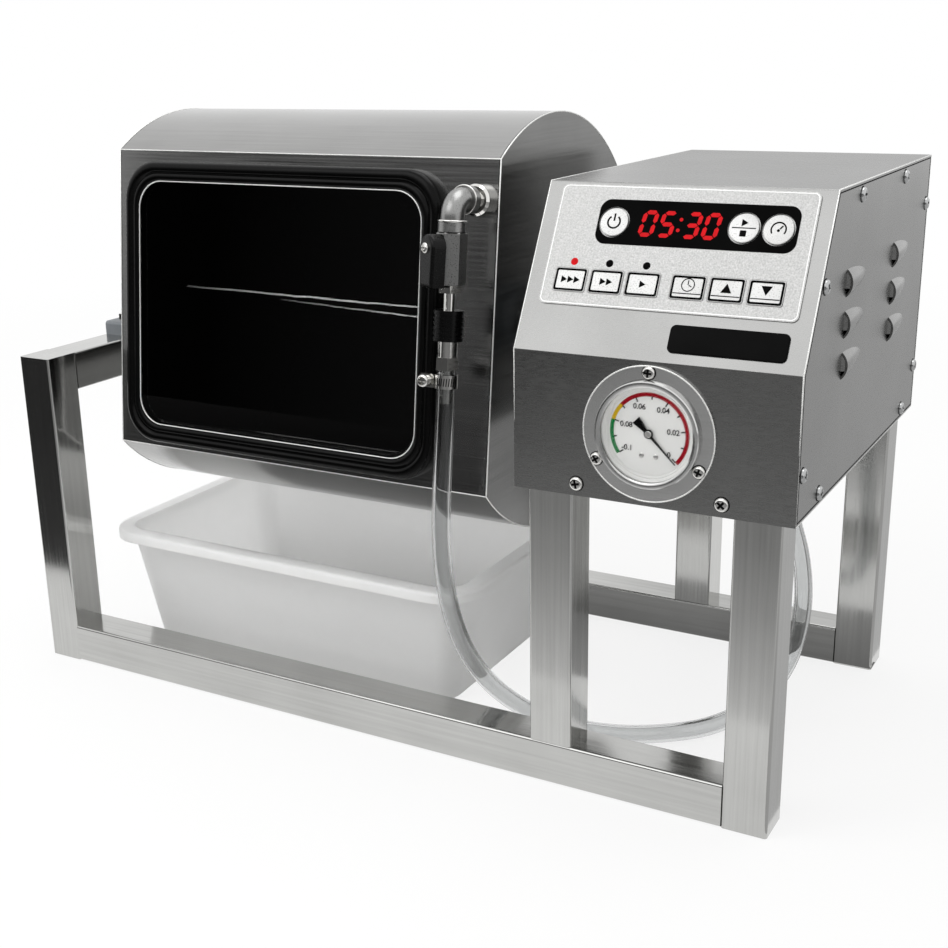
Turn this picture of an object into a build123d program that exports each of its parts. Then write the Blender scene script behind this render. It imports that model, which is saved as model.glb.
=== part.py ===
from build123d import *
import os
from math import atan2, cos, pi, radians, sin, sqrt, tan

os.makedirs("parts", exist_ok=True)

# Driving dimensions, in millimetres and degrees.
# Stand: welded square tube, with the floor at height zero.
TUBE = 30.0
TUBE_WALL = 1.5
TUBE_CORNER = 2.0
FRAME_DEPTH = 302.0
LEFT_HEIGHT = 252.5
MID_POST_INSET = 9.5

# Drum: a sheet cylinder on a level axis with one flat side for the door.
DRUM_RADIUS = 150.0
DRUM_LENGTH = 329.0
DRUM_SHEET = 1.5
DRUM_FLAT = 98.5
DRUM_GAP = 32.0
DRUM_TO_BOX = 42.5
DRUM_TILT = 6.9
AXIS_RISE = 30.0
AXIS_IN_BOX = 74.5
BAFFLE_DEPTH = 38.0
BAFFLE_SHEET = 3.0
BAFFLE_COUNT = 3
BAFFLE_STEP_ANGLE = 100.0
BAFFLE_START_ANGLE = -105.0
BAFFLE_END_GAP = 20.0

# Shafts and bearings that carry the drum.
LEFT_SHAFT_RADIUS = 8.5
DRIVE_SHAFT_RADIUS = 10.0
HUB_RADIUS = 38.0
HUB_THICKNESS = 6.0
RUNNING_GAP = 0.05
PILLOW_WIDTH = 26.0
PILLOW_LENGTH = 112.0
PILLOW_FOOT = 11.0
PILLOW_SHOULDER = 26.0
PILLOW_BOLT_REACH = 43.0
BOLT_RADIUS = 4.0
BEARING_RADIUS = 20.0
BEARING_WIDTH = 18.0
FLANGE_BEARING_THICKNESS = 14.0
FLANGE_BEARING_LENGTH = 90.0

# Door: a clear lid with a rubber edge, held on the flat by the vacuum.
LID_LEFT_MARGIN = 9.0
LID_RIGHT_MARGIN = 39.0
LID_EDGE_MARGIN = 4.6
LID_CORNER = 28.0
LID_PLATE = 6.0
GASKET_BAND = 14.0
GASKET_LIP = 2.5
GASKET_GROOVE = 9.0
GASKET_EDGE = 4.0
DOOR_LIP_GAP = 1.0
DOOR_LIP_WIDTH = 2.5
DOOR_LIP_RISE = 2.0

# Suction fittings in front of the flat, on one line parallel to it.
VALVE_INSET = 14.5
VALVE_STANDOFF = 36.0
VALVE_TURN = 30.0
ELBOW_DROP = 27.1
ELBOW_LEG = 20.5
ELBOW_BEND = 11.0
ELBOW_RADIUS = 7.8
FITTING_BORE = 3.5
BAND_RADIUS = 9.2
BAND_WIDTH = 7.0
SOCKET_RADIUS = 10.5
SOCKET_LENGTH = 8.0
NIPPLE_RADIUS = 6.2
VALVE_HEX = 10.0
VALVE_LENGTH = 34.0
BALL_RADIUS = 6.0
BALL_GAP = 0.2
STEM_RADIUS = 3.0
STEM_RISE = 6.5
HANDLE_THICKNESS = 10.0
HANDLE_HUB = 9.0
HANDLE_REACH = 25.0
HANDLE_WIDTH = 16.0
HANDLE_STANDOFF = 0.5
PLUG_NUT = 8.2
PLUG_NUT_LENGTH = 5.0
PLUG_NECK = 3.8
PLUG_NECK_LENGTH = 11.0
PLUG_TIP = 3.2
PLUG_TIP_LENGTH = 12.0
COUPLER_RADIUS = 7.5
COUPLER_LENGTH = 20.0
COUPLER_WAIST = 6.7
COUPLER_WAIST_LENGTH = 10.5
COUPLER_HEX = 8.2
COUPLER_HEX_LENGTH = 8.5
SLEEVE_RADIUS = 10.0
SLEEVE_GROOVE = 0.6
SLEEVE_GROOVES = 5
BARB_LENGTH = 22.0
BARB_RIDGE = 0.25
BARB_RIDGES = 3

# Clear hose from the drum's coupler to the fitting under the box.
HOSE_RADIUS = 6.5
HOSE_BORE = 4.6
HOSE_FIT = 0.3
CLAMP_BAND = 1.0
CLAMP_WIDTH = 9.0
CLAMP_DROP = 3.0
CLAMP_HOUSING = 10.0
BULKHEAD_HEX = 11.0
BULKHEAD_HEX_LENGTH = 7.0
BULKHEAD_STEM = 6.0

# Control box: bent sheet with separate sides, back and floor.
BOX_WIDTH = 182.0
BOX_OVERHANG = 7.5
BOX_PROUD = 1.0
BOX_BEHIND = 5.0
BOX_KNEE = 90.0
BOX_HEIGHT = 187.5
BOX_SLOPE_RUN = 53.7
BOX_SHEET = 1.2
BOX_FLANGE = 15.0
SCREW_INSET = 8.0
SCREW_HEAD = 4.5
SCREW_RISE = 2.4
SCREW_SHANK = 2.0
LOUVRE_LENGTH = 46.0
LOUVRE_HEIGHT = 17.0
LOUVRE_RISE = 3.8
LOUVRE_PITCH = 25.4
LOUVRE_ROWS = 3
LOUVRE_COLUMNS = 2
LOUVRE_COLUMN_PITCH = 122.0
LOUVRE_DEPTH = 83.0
LOUVRE_LEVEL = 78.5
GLAND_RADIUS = 9.0
GLAND_LENGTH = 12.0
GLAND_LEFT = 150.0
GLAND_LEVEL = 40.0

# Keypad on the sloped face: margins to the box's sides, the knee and the top bend.
PAD_LEFT = 10.2
PAD_RIGHT = 9.2
PAD_LEVEL = 30.6
PAD_TOP_MARGIN = 2.31
PAD_CORNER = 4.0
PAD_THICKNESS = 1.0
KEY_GAP = 0.3
KEY_TRAVEL = 0.5
KEY_THICKNESS = 1.0
KEY_CORNER = 1.2
BOARD_THICKNESS = 1.6
BOARD_STANDOFF = 10.0
BOARD_MARGIN = 6.0
STANDOFF_RADIUS = 3.0

# Sizes and places of the keys and digits, as shares of the keypad's width and height.
ROUND_KEY_RADIUS_SHARE = 0.05904
ROUND_KEY_LEVEL_SHARE = 0.69388
ROUND_KEY_SHARES = {"key_power": 0.24047, "key_start": 0.74293, "key_vacuum": 0.86962}
KEY_WIDTH_SHARE = 0.12915
KEY_HEIGHT_SHARE = 0.19133
KEY_LEVEL_SHARE = 0.20281
KEY_PITCH_SHARE = 0.14514
SPEED_KEYS_SHARE = 0.11316
TIME_KEYS_SHARE = 0.57934
SPEED_KEYS = ["key_fast", "key_medium", "key_slow"]
TIME_KEYS = ["key_time", "key_time_up", "key_time_down"]
DIGITS_WIDTH_SHARE = 0.3567
DIGITS_HEIGHT_SHARE = 0.24235
DIGITS_LEFT_SHARE = 0.32226

# Vacuum gauge in the front face.
GAUGE_LEFT = 90.4
GAUGE_LEVEL = 45.6
GAUGE_FLANGE = 42.5
GAUGE_FLANGE_THICKNESS = 1.5
GAUGE_CAN = 31.5
GAUGE_CAN_DEPTH = 32.0
GAUGE_WALL = 1.0
GAUGE_BEZEL = 33.5
GAUGE_BEZEL_RISE = 4.0
GAUGE_SINK = 3.5
GAUGE_WINDOW = 29.5
GAUGE_GLASS = 2.5
GAUGE_DIAL = 0.8
GAUGE_HUB = 4.0
GAUGE_PIN = 1.5
NEEDLE_LENGTH = 24.0
NEEDLE_TAIL = 9.0
NEEDLE_WIDTH = 2.4
NEEDLE_TAIL_WIDTH = 5.0
NEEDLE_THICKNESS = 0.6
NEEDLE_CLEAR = 1.2
NEEDLE_REST_ANGLE = -45.0
GAUGE_SCREW_HEAD = 4.0
GAUGE_PORT = 6.5
GAUGE_PORT_LENGTH = 14.0

# Drive and vacuum pump inside the box.
GEARBOX = 62.0
GEARBOX_LEFT = 12.0
GEARBOX_EDGE = 6.0
MOTOR_RADIUS = 32.0
MOTOR_LENGTH = 96.0
BRACKET_SHEET = 3.0
PUMP_RADIUS = 26.0
PUMP_LENGTH = 78.0
PUMP_HEAD = 58.0
PUMP_HEAD_LENGTH = 26.0
PUMP_FOOT = 8.0
PUMP_BACK_GAP = 22.8
PUMP_OFFSET = 3.0
PUMP_PORT = 5.0
PUMP_PORT_LENGTH = 12.0
LINE_RADIUS = 4.0
LINE_BEND = 22.0
LINE_RUN = 36.0

# Tub under the drum.
TUB_LENGTH = 290.0
TUB_DEPTH = 160.0
TUB_HEIGHT = 100.0
TUB_FLARE = 16.0
TUB_CORNER = 14.0
TUB_RIM_CORNER = 22.0
TUB_WALL = 2.5
TUB_RIM = 11.0
TUB_RIM_DROP = 8.0
TUB_RIM_THICKNESS = 2.5
TUB_LEFT = 52.0

# Places worked out from those sizes; the origin is under the middle of the whole machine.
FRONT_REACH = BOX_PROUD + GAUGE_FLANGE_THICKNESS + GAUGE_BEZEL_RISE
BACK_REACH = BOX_BEHIND + GLAND_LENGTH
FRAME_LENGTH = TUBE + DRUM_GAP + DRUM_LENGTH + DRUM_TO_BOX + BOX_WIDTH - BOX_OVERHANG
X0 = -(FRAME_LENGTH + BOX_OVERHANG + LOUVRE_RISE) / 2
Y0 = -(FRAME_DEPTH + BACK_REACH - FRONT_REACH) / 2
X1 = X0 + FRAME_LENGTH
Y1 = Y0 + FRAME_DEPTH
AXIS_Y = (Y0 + Y1) / 2
AXIS_Z = LEFT_HEIGHT + AXIS_RISE
DRUM_X0 = X0 + TUBE + DRUM_GAP
DRUM_X1 = DRUM_X0 + DRUM_LENGTH
BOX_X1 = X1 + BOX_OVERHANG
BOX_X0 = BOX_X1 - BOX_WIDTH
BOX_Y0 = Y0 - BOX_PROUD
BOX_Y1 = Y1 + BOX_BEHIND
BOX_BOTTOM = AXIS_Z - AXIS_IN_BOX
BOX_KNEE_Z = BOX_BOTTOM + BOX_KNEE
BOX_TOP = BOX_BOTTOM + BOX_HEIGHT
BOX_SLOPE_Y = BOX_Y0 + BOX_SLOPE_RUN
COVER_X0 = BOX_X0 + BOX_SHEET
COVER_X1 = BOX_X1 - BOX_SHEET
HALF_CHORD = sqrt(DRUM_RADIUS**2 - DRUM_FLAT**2)
VALVE_X = DRUM_X1 - VALVE_INSET
ELBOW_LEVEL = HALF_CHORD - ELBOW_DROP
LID_WIDTH = DRUM_LENGTH - LID_LEFT_MARGIN - LID_RIGHT_MARGIN
LID_HEIGHT = 2 * (HALF_CHORD - LID_EDGE_MARGIN)
LID_SHIFT = (LID_LEFT_MARGIN - LID_RIGHT_MARGIN) / 2

# Places of the drive, the pump and the hose fitting in the box.
GEARBOX_X0 = BOX_X0 + BOX_SHEET + GEARBOX_LEFT
MOTOR_SIDE = GEARBOX_X0 + GEARBOX / 2 + MOTOR_RADIUS
PUMP_X = (MOTOR_SIDE + COVER_X1) / 2 + PUMP_OFFSET
PUMP_Y = BOX_Y1 - BOX_SHEET - PUMP_BACK_GAP - PUMP_LENGTH
PUMP_Z = BOX_BOTTOM + BOX_SHEET + PUMP_FOOT + PUMP_HEAD / 2
BULKHEAD_Y = PUMP_Y - PUMP_PORT_LENGTH - LINE_RUN
BULKHEAD_Z = BOX_BOTTOM - BULKHEAD_HEX_LENGTH

# Directions of the tilted drum: INWARD goes from the flat to its back, UPWARD along the flat.
TILT = radians(DRUM_TILT)
INWARD = Vector(0, cos(TILT), -sin(TILT))
UPWARD = Vector(0, sin(TILT), cos(TILT))


def drum_point(x, inward, upward):
    """A point at x, counted in the drum's own directions from its axis."""
    return Vector(x, AXIS_Y, AXIS_Z) + INWARD * inward + UPWARD * upward


def end_plane(x):
    """A plane across the drum's axis, with its x along INWARD and its y along UPWARD."""
    return Plane(origin=(x, AXIS_Y, AXIS_Z), x_dir=INWARD, z_dir=(1, 0, 0))


FACE = Plane(origin=drum_point(DRUM_X0 + DRUM_LENGTH / 2, -DRUM_FLAT, 0), x_dir=(1, 0, 0), z_dir=-INWARD)
CHAIN_POINT = drum_point(VALVE_X, -DRUM_FLAT - VALVE_STANDOFF, 0)
CHAIN = Plane(origin=CHAIN_POINT, x_dir=(1, 0, 0), z_dir=UPWARD)

SLOPE_LENGTH = sqrt(BOX_SLOPE_RUN**2 + (BOX_HEIGHT - BOX_KNEE) ** 2)
SLOPE_NORMAL = Vector(0, BOX_KNEE - BOX_HEIGHT, BOX_SLOPE_RUN) / SLOPE_LENGTH
PANEL = Plane(origin=(BOX_X0, BOX_Y0, BOX_KNEE_Z), x_dir=(1, 0, 0), z_dir=SLOPE_NORMAL)
PAD_WIDTH = BOX_WIDTH - PAD_LEFT - PAD_RIGHT
PAD_HEIGHT = SLOPE_LENGTH - PAD_LEVEL - PAD_TOP_MARGIN
ROUND_KEY_RADIUS = PAD_WIDTH * ROUND_KEY_RADIUS_SHARE
ROUND_KEY_LEVEL = PAD_LEVEL + PAD_HEIGHT * ROUND_KEY_LEVEL_SHARE
KEY_WIDTH = PAD_WIDTH * KEY_WIDTH_SHARE
KEY_HEIGHT = PAD_HEIGHT * KEY_HEIGHT_SHARE
KEY_LEVEL = PAD_LEVEL + PAD_HEIGHT * KEY_LEVEL_SHARE
DIGITS_WIDTH = PAD_WIDTH * DIGITS_WIDTH_SHARE
DIGITS_HEIGHT = PAD_HEIGHT * DIGITS_HEIGHT_SHARE
DIGITS_LEFT = PAD_LEFT + PAD_WIDTH * DIGITS_LEFT_SHARE
GAUGE = Plane(
    origin=(BOX_X0 + GAUGE_LEFT, BOX_Y0, BOX_BOTTOM + GAUGE_LEVEL), x_dir=(1, 0, 0), z_dir=(0, -1, 0)
)


def disc(plane, radius):
    """A round section on a plane."""
    with BuildSketch(plane) as section:
        Circle(radius)
    return section.sketch


def front_edges(builder, plane):
    """The edges of a piece's face that lies furthest out along a plane's direction."""
    return builder.faces().sort_by(Axis(plane.origin, plane.z_dir))[-1].edges()


def save(builder, label):
    """Name a finished piece and write it to its own file."""
    builder.part.label = label
    export_step(builder.part, f"parts/{label}.step")


# Stand: four corner posts, two mid posts, two floor rails and the left bearing rail.
POSTS = {
    "post_front_left": (X0, Y0, 0, LEFT_HEIGHT),
    "post_back_left": (X0, Y1 - TUBE, 0, LEFT_HEIGHT),
    "post_front_right": (X1 - TUBE, Y0, 0, BOX_BOTTOM),
    "post_back_right": (X1 - TUBE, Y1 - TUBE, 0, BOX_BOTTOM),
    "post_front_mid": (BOX_X0 + MID_POST_INSET, Y0, TUBE, BOX_BOTTOM),
    "post_back_mid": (BOX_X0 + MID_POST_INSET, Y1 - TUBE, TUBE, BOX_BOTTOM),
}
RAILS = {
    "rail_front": (Plane.YZ, Vector(X0 + TUBE, Y0, 0), FRAME_LENGTH - 2 * TUBE),
    "rail_back": (Plane.YZ, Vector(X0 + TUBE, Y1 - TUBE, 0), FRAME_LENGTH - 2 * TUBE),
    "rail_left": (Plane.XZ.reverse(), Vector(X0, Y0 + TUBE, LEFT_HEIGHT - TUBE), FRAME_DEPTH - 2 * TUBE),
}
TUBE_BORE = TUBE - 2 * TUBE_WALL
TUBE_BORE_CORNER = max(TUBE_CORNER - TUBE_WALL, TUBE_WALL / 3)

for label, (left, front, bottom, top) in POSTS.items():
    with BuildPart() as post:
        with BuildSketch(Plane((left + TUBE / 2, front + TUBE / 2, bottom))):
            RectangleRounded(TUBE, TUBE, TUBE_CORNER)
            RectangleRounded(TUBE_BORE, TUBE_BORE, TUBE_BORE_CORNER, mode=Mode.SUBTRACT)
        extrude(amount=top - bottom)
        # Each post is closed by a plate welded into its top.
        with BuildSketch(Plane((left + TUBE / 2, front + TUBE / 2, top - TUBE_WALL))):
            RectangleRounded(TUBE - TUBE_WALL, TUBE - TUBE_WALL, TUBE_CORNER / 2)
        extrude(amount=TUBE_WALL)
    save(post, label)

for label, (plane, start, length) in RAILS.items():
    middle = start + (Vector(1, 1, 1) - Vector(*[abs(n) for n in plane.z_dir])) * (TUBE / 2)
    with BuildPart() as rail:
        with BuildSketch(Plane(origin=middle, x_dir=plane.x_dir, z_dir=plane.z_dir)):
            RectangleRounded(TUBE, TUBE, TUBE_CORNER)
            RectangleRounded(TUBE_BORE, TUBE_BORE, TUBE_BORE_CORNER, mode=Mode.SUBTRACT)
        extrude(amount=length)
    save(rail, label)

# Pillow block on the left rail: a cast foot and dome round the bearing.
PILLOW = Plane(origin=(X0 + TUBE / 2, AXIS_Y, AXIS_Z), x_dir=(0, 1, 0), z_dir=(1, 0, 0))

with BuildPart() as pillow_block:
    with BuildSketch(PILLOW.offset(-PILLOW_WIDTH / 2)):
        with Locations((0, -AXIS_RISE + PILLOW_FOOT / 2)):
            Rectangle(PILLOW_LENGTH, PILLOW_FOOT)
        with Locations((0, -AXIS_RISE / 2)):
            Rectangle(2 * PILLOW_SHOULDER, AXIS_RISE)
        Circle(PILLOW_SHOULDER)
    extrude(amount=PILLOW_WIDTH)
    upright_edges = pillow_block.edges().filter_by(Axis.X).group_by(Axis.Z)[1]
    fillet(upright_edges, PILLOW_FOOT / 4)
    with BuildSketch(PILLOW.offset(-PILLOW_WIDTH / 2)):
        Circle(BEARING_RADIUS)
    extrude(amount=PILLOW_WIDTH, mode=Mode.SUBTRACT)
    with BuildSketch(Plane((X0 + TUBE / 2, AXIS_Y, LEFT_HEIGHT + PILLOW_FOOT))):
        with GridLocations(0, 2 * PILLOW_BOLT_REACH, 1, 2):
            Circle(BOLT_RADIUS + HOSE_FIT)
    extrude(amount=-PILLOW_FOOT, mode=Mode.SUBTRACT)
save(pillow_block, "pillow_block")

with BuildPart() as pillow_bearing:
    with BuildSketch(PILLOW.offset(-BEARING_WIDTH / 2)):
        Circle(BEARING_RADIUS)
        Circle(LEFT_SHAFT_RADIUS + RUNNING_GAP, mode=Mode.SUBTRACT)
    extrude(amount=BEARING_WIDTH)
    # Raceway groove on each side between the two rings.
    for side in (-1, 1):
        with BuildSketch(PILLOW.offset(side * BEARING_WIDTH / 2)):
            Circle(BEARING_RADIUS * 0.85)
            Circle(BEARING_RADIUS * 0.65, mode=Mode.SUBTRACT)
        extrude(amount=-side * BEARING_WIDTH / 8, mode=Mode.SUBTRACT)
save(pillow_bearing, "pillow_bearing")

with BuildPart() as pillow_bolts:
    for side in (-1, 1):
        bolt_place = (X0 + TUBE / 2, AXIS_Y + side * PILLOW_BOLT_REACH, LEFT_HEIGHT + PILLOW_FOOT)
        with BuildSketch(Plane(bolt_place)):
            RegularPolygon(1.8 * BOLT_RADIUS, 6)
        extrude(amount=1.4 * BOLT_RADIUS)
        with BuildSketch(Plane(bolt_place)):
            Circle(BOLT_RADIUS)
        extrude(amount=-PILLOW_FOOT)
save(pillow_bolts, "pillow_bolts")


# Drum: outline, shell, end caps, baffles and shafts.
def drum_section(x, inset):
    """The drum's section at x, a circle cut by the door's flat, drawn in by an inset."""
    radius = DRUM_RADIUS - inset
    flat = DRUM_FLAT - inset
    half_chord = sqrt(radius**2 - flat**2)
    with BuildSketch(end_plane(x)) as section:
        with BuildLine():
            Line((-flat, half_chord), (-flat, -half_chord))
            ThreePointArc((-flat, -half_chord), (radius, 0), (-flat, half_chord))
        make_face()
    return section.sketch


DOOR_LIP_INSET = GASKET_BAND + DOOR_LIP_GAP
DOOR_INSET = DOOR_LIP_INSET + DOOR_LIP_WIDTH
PORT_PLACE = (VALVE_X - (DRUM_X0 + DRUM_X1) / 2, ELBOW_LEVEL)


def lid_outline(inset, mode=Mode.ADD):
    """Draw the lid's rounded rectangle, drawn in by an inset, in the sketch that is open."""
    with Locations((LID_SHIFT, 0)):
        RectangleRounded(LID_WIDTH - 2 * inset, LID_HEIGHT - 2 * inset, LID_CORNER - inset / 2, mode=mode)


with BuildPart() as drum_shell:
    shell_start = DRUM_X0 + DRUM_SHEET
    shell_length = DRUM_LENGTH - 2 * DRUM_SHEET
    extrude(drum_section(shell_start, 0), amount=shell_length)
    extrude(drum_section(shell_start, DRUM_SHEET), amount=shell_length, mode=Mode.SUBTRACT)
    # The door's edge is turned out into a low lip inside the lid's seal.
    with BuildSketch(FACE):
        lid_outline(DOOR_LIP_INSET)
    extrude(amount=DOOR_LIP_RISE)
    with BuildSketch(FACE.offset(DOOR_LIP_RISE)):
        lid_outline(DOOR_INSET)
    extrude(amount=-2 * DRUM_SHEET - DOOR_LIP_RISE, mode=Mode.SUBTRACT)
    with BuildSketch(FACE):
        with Locations(PORT_PLACE):
            Circle(FITTING_BORE)
    extrude(amount=-2 * DRUM_SHEET, mode=Mode.SUBTRACT)
save(drum_shell, "drum_shell")

for label, start in (("drum_cap_left", DRUM_X0), ("drum_cap_right", DRUM_X1 - DRUM_SHEET)):
    with BuildPart() as drum_cap:
        extrude(drum_section(start, 0), amount=DRUM_SHEET)
    save(drum_cap, label)

BAFFLE_WALL = DRUM_RADIUS - DRUM_SHEET
with BuildPart() as drum_baffles:
    with BuildSketch(end_plane(DRUM_X0 + BAFFLE_END_GAP)):
        for number in range(BAFFLE_COUNT):
            turn = BAFFLE_START_ANGLE + number * BAFFLE_STEP_ANGLE
            middle = BAFFLE_WALL - BAFFLE_DEPTH / 2
            place = (middle * cos(radians(turn)), middle * sin(radians(turn)), 0)
            with Locations(Location(place, (0, 0, turn))):
                Rectangle(BAFFLE_DEPTH + BAFFLE_SHEET, BAFFLE_SHEET)
        Circle(BAFFLE_WALL, mode=Mode.INTERSECT)
    extrude(amount=DRUM_LENGTH - 2 * BAFFLE_END_GAP)
save(drum_baffles, "drum_baffles")

with BuildPart() as shaft_left:
    with BuildSketch(Plane(origin=(DRUM_X0, AXIS_Y, AXIS_Z), z_dir=(-1, 0, 0))):
        Circle(HUB_RADIUS)
    extrude(amount=HUB_THICKNESS)
    chamfer(shaft_left.edges().group_by(Axis.X)[0], HUB_THICKNESS / 4)
    with BuildSketch(Plane(origin=(DRUM_X0, AXIS_Y, AXIS_Z), z_dir=(-1, 0, 0))):
        Circle(LEFT_SHAFT_RADIUS)
    extrude(amount=DRUM_GAP + TUBE / 2 + PILLOW_WIDTH / 2)
save(shaft_left, "shaft_left")

with BuildPart() as shaft_right:
    with BuildSketch(Plane(origin=(DRUM_X1, AXIS_Y, AXIS_Z), z_dir=(1, 0, 0))):
        Circle(HUB_RADIUS)
    extrude(amount=HUB_THICKNESS)
    chamfer(shaft_right.edges().group_by(Axis.X)[-1], HUB_THICKNESS / 4)
    with BuildSketch(Plane(origin=(DRUM_X1, AXIS_Y, AXIS_Z), z_dir=(1, 0, 0))):
        Circle(DRIVE_SHAFT_RADIUS)
    extrude(amount=GEARBOX_X0 + GEARBOX - DRUM_X1)
save(shaft_right, "shaft_right")

# Door: a clear plate in the groove of a rubber edge.
with BuildPart() as lid_gasket:
    with BuildSketch(FACE):
        lid_outline(0)
    extrude(amount=LID_PLATE + 2 * GASKET_LIP)
    fillet(front_edges(lid_gasket, FACE), GASKET_EDGE)
    with BuildSketch(FACE):
        lid_outline(GASKET_BAND)
    extrude(amount=LID_PLATE + 2 * GASKET_LIP, mode=Mode.SUBTRACT)
    with BuildSketch(FACE.offset(GASKET_LIP)):
        lid_outline(GASKET_BAND - GASKET_GROOVE)
    extrude(amount=LID_PLATE, mode=Mode.SUBTRACT)
save(lid_gasket, "lid_gasket")

with BuildPart() as lid_plate:
    with BuildSketch(FACE.offset(GASKET_LIP)):
        lid_outline(GASKET_BAND - GASKET_GROOVE)
    extrude(amount=LID_PLATE)
save(lid_plate, "lid_plate")

# Suction fittings, from the flat's socket down to the hose barb.
VALVE_TOP = ELBOW_LEVEL - ELBOW_LEG
VALVE_BOTTOM = VALVE_TOP - VALVE_LENGTH
PLUG_BOTTOM = VALVE_BOTTOM - PLUG_NUT_LENGTH - PLUG_NECK_LENGTH
COUPLER_BOTTOM = PLUG_BOTTOM - COUPLER_LENGTH
HEX_TOP = COUPLER_BOTTOM - COUPLER_WAIST_LENGTH
HEX_BOTTOM = HEX_TOP - COUPLER_HEX_LENGTH


def chain_disc(level):
    """A plane across the chain of fittings, at a level counted along the flat."""
    return CHAIN.offset(level)


NIPPLE = Plane(origin=CHAIN.from_local_coords((0, 0, ELBOW_LEVEL)), x_dir=(1, 0, 0), z_dir=INWARD)

with BuildPart() as valve_nipple:
    with BuildSketch(NIPPLE.offset(VALVE_STANDOFF - SOCKET_LENGTH)):
        Circle(SOCKET_RADIUS)
    extrude(amount=SOCKET_LENGTH)
    chamfer(front_edges(valve_nipple, FACE), SOCKET_LENGTH / 5)
    with BuildSketch(NIPPLE.offset(ELBOW_LEG)):
        Circle(NIPPLE_RADIUS)
    extrude(amount=VALVE_STANDOFF - ELBOW_LEG - SOCKET_LENGTH / 2)
    with BuildSketch(NIPPLE.offset(ELBOW_LEG)):
        Circle(FITTING_BORE)
    extrude(amount=VALVE_STANDOFF - ELBOW_LEG, mode=Mode.SUBTRACT)
save(valve_nipple, "valve_nipple")

with BuildPart() as valve_elbow:
    with BuildLine() as elbow_path:
        elbow_ends = [NIPPLE.from_local_coords((0, 0, n)) for n in (ELBOW_LEG, ELBOW_BEND)]
        Line(*elbow_ends)
        bend_end = CHAIN.from_local_coords((0, 0, ELBOW_LEVEL - ELBOW_BEND))
        TangentArc(elbow_ends[1], bend_end, tangent=-INWARD)
        Line(bend_end, CHAIN.from_local_coords((0, 0, VALVE_TOP)))
    with BuildSketch(NIPPLE.offset(ELBOW_LEG)):
        Circle(ELBOW_RADIUS)
        Circle(FITTING_BORE, mode=Mode.SUBTRACT)
    sweep()
    for band_plane in (NIPPLE.offset(ELBOW_LEG - BAND_WIDTH), chain_disc(VALVE_TOP)):
        with BuildSketch(band_plane):
            Circle(BAND_RADIUS)
            Circle(FITTING_BORE, mode=Mode.SUBTRACT)
        extrude(amount=BAND_WIDTH)
save(valve_elbow, "valve_elbow")

# The ball valve is screwed on at an angle, so its stem points forward and to the left.
STEM_LEVEL = (VALVE_TOP + VALVE_BOTTOM) / 2 + STEM_RISE
STEM_WAY = Vector(-sin(radians(VALVE_TURN)), 0, 0) - INWARD * cos(radians(VALVE_TURN))
STEM = Plane(
    origin=CHAIN.from_local_coords((0, 0, STEM_LEVEL)), x_dir=UPWARD.cross(STEM_WAY), z_dir=STEM_WAY
)

with BuildPart() as valve_body:
    with BuildSketch(chain_disc(VALVE_BOTTOM)):
        RegularPolygon(VALVE_HEX, 6, rotation=-VALVE_TURN)
    extrude(amount=VALVE_LENGTH)
    chamfer(valve_body.faces().filter_by(Axis(CHAIN.origin, CHAIN.z_dir)).edges(), VALVE_HEX / 10)
    with BuildSketch(chain_disc(VALVE_BOTTOM)):
        Circle(FITTING_BORE)
    extrude(amount=VALVE_LENGTH, mode=Mode.SUBTRACT)
    with BuildSketch(STEM):
        Circle(STEM_RADIUS + RUNNING_GAP)
    extrude(amount=2 * VALVE_HEX, mode=Mode.SUBTRACT)
    with Locations(Location(STEM)):
        Sphere(BALL_RADIUS + BALL_GAP, mode=Mode.SUBTRACT)
save(valve_body, "valve_body")

HANDLE_FOOT = VALVE_HEX * cos(radians(30)) + HANDLE_STANDOFF
with BuildPart() as valve_ball:
    with Locations(Location(STEM)):
        Sphere(BALL_RADIUS)
    with BuildSketch(STEM):
        Circle(STEM_RADIUS)
    extrude(amount=HANDLE_FOOT)
    with BuildSketch(chain_disc(STEM_LEVEL - BALL_RADIUS)):
        Circle(FITTING_BORE - BALL_GAP)
    extrude(amount=2 * BALL_RADIUS, mode=Mode.SUBTRACT)
save(valve_ball, "valve_ball")

with BuildPart() as valve_handle:
    with BuildSketch(STEM.offset(HANDLE_FOOT)):
        Circle(HANDLE_HUB)
        with BuildLine():
            Polyline(
                (-HANDLE_HUB, 0),
                (-HANDLE_WIDTH / 2, -HANDLE_REACH),
                (HANDLE_WIDTH / 2, -HANDLE_REACH),
                (HANDLE_HUB, 0),
                close=True,
            )
        make_face()
    extrude(amount=HANDLE_THICKNESS)
    fillet(front_edges(valve_handle, STEM), HANDLE_THICKNESS / 4)
save(valve_handle, "valve_handle")

with BuildPart() as coupler_plug:
    with BuildSketch(chain_disc(VALVE_BOTTOM)):
        RegularPolygon(PLUG_NUT, 6)
    extrude(amount=-PLUG_NUT_LENGTH)
    with BuildSketch(chain_disc(VALVE_BOTTOM)):
        Circle(PLUG_NECK)
    extrude(amount=-(PLUG_NUT_LENGTH + PLUG_NECK_LENGTH))
    with BuildSketch(chain_disc(PLUG_BOTTOM)):
        Circle(PLUG_TIP)
    extrude(amount=-PLUG_TIP_LENGTH)
    with BuildSketch(chain_disc(VALVE_BOTTOM)):
        Circle(PLUG_TIP / 2)
    extrude(amount=-(PLUG_NUT_LENGTH + PLUG_NECK_LENGTH + PLUG_TIP_LENGTH), mode=Mode.SUBTRACT)
save(coupler_plug, "coupler_plug")


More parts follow.
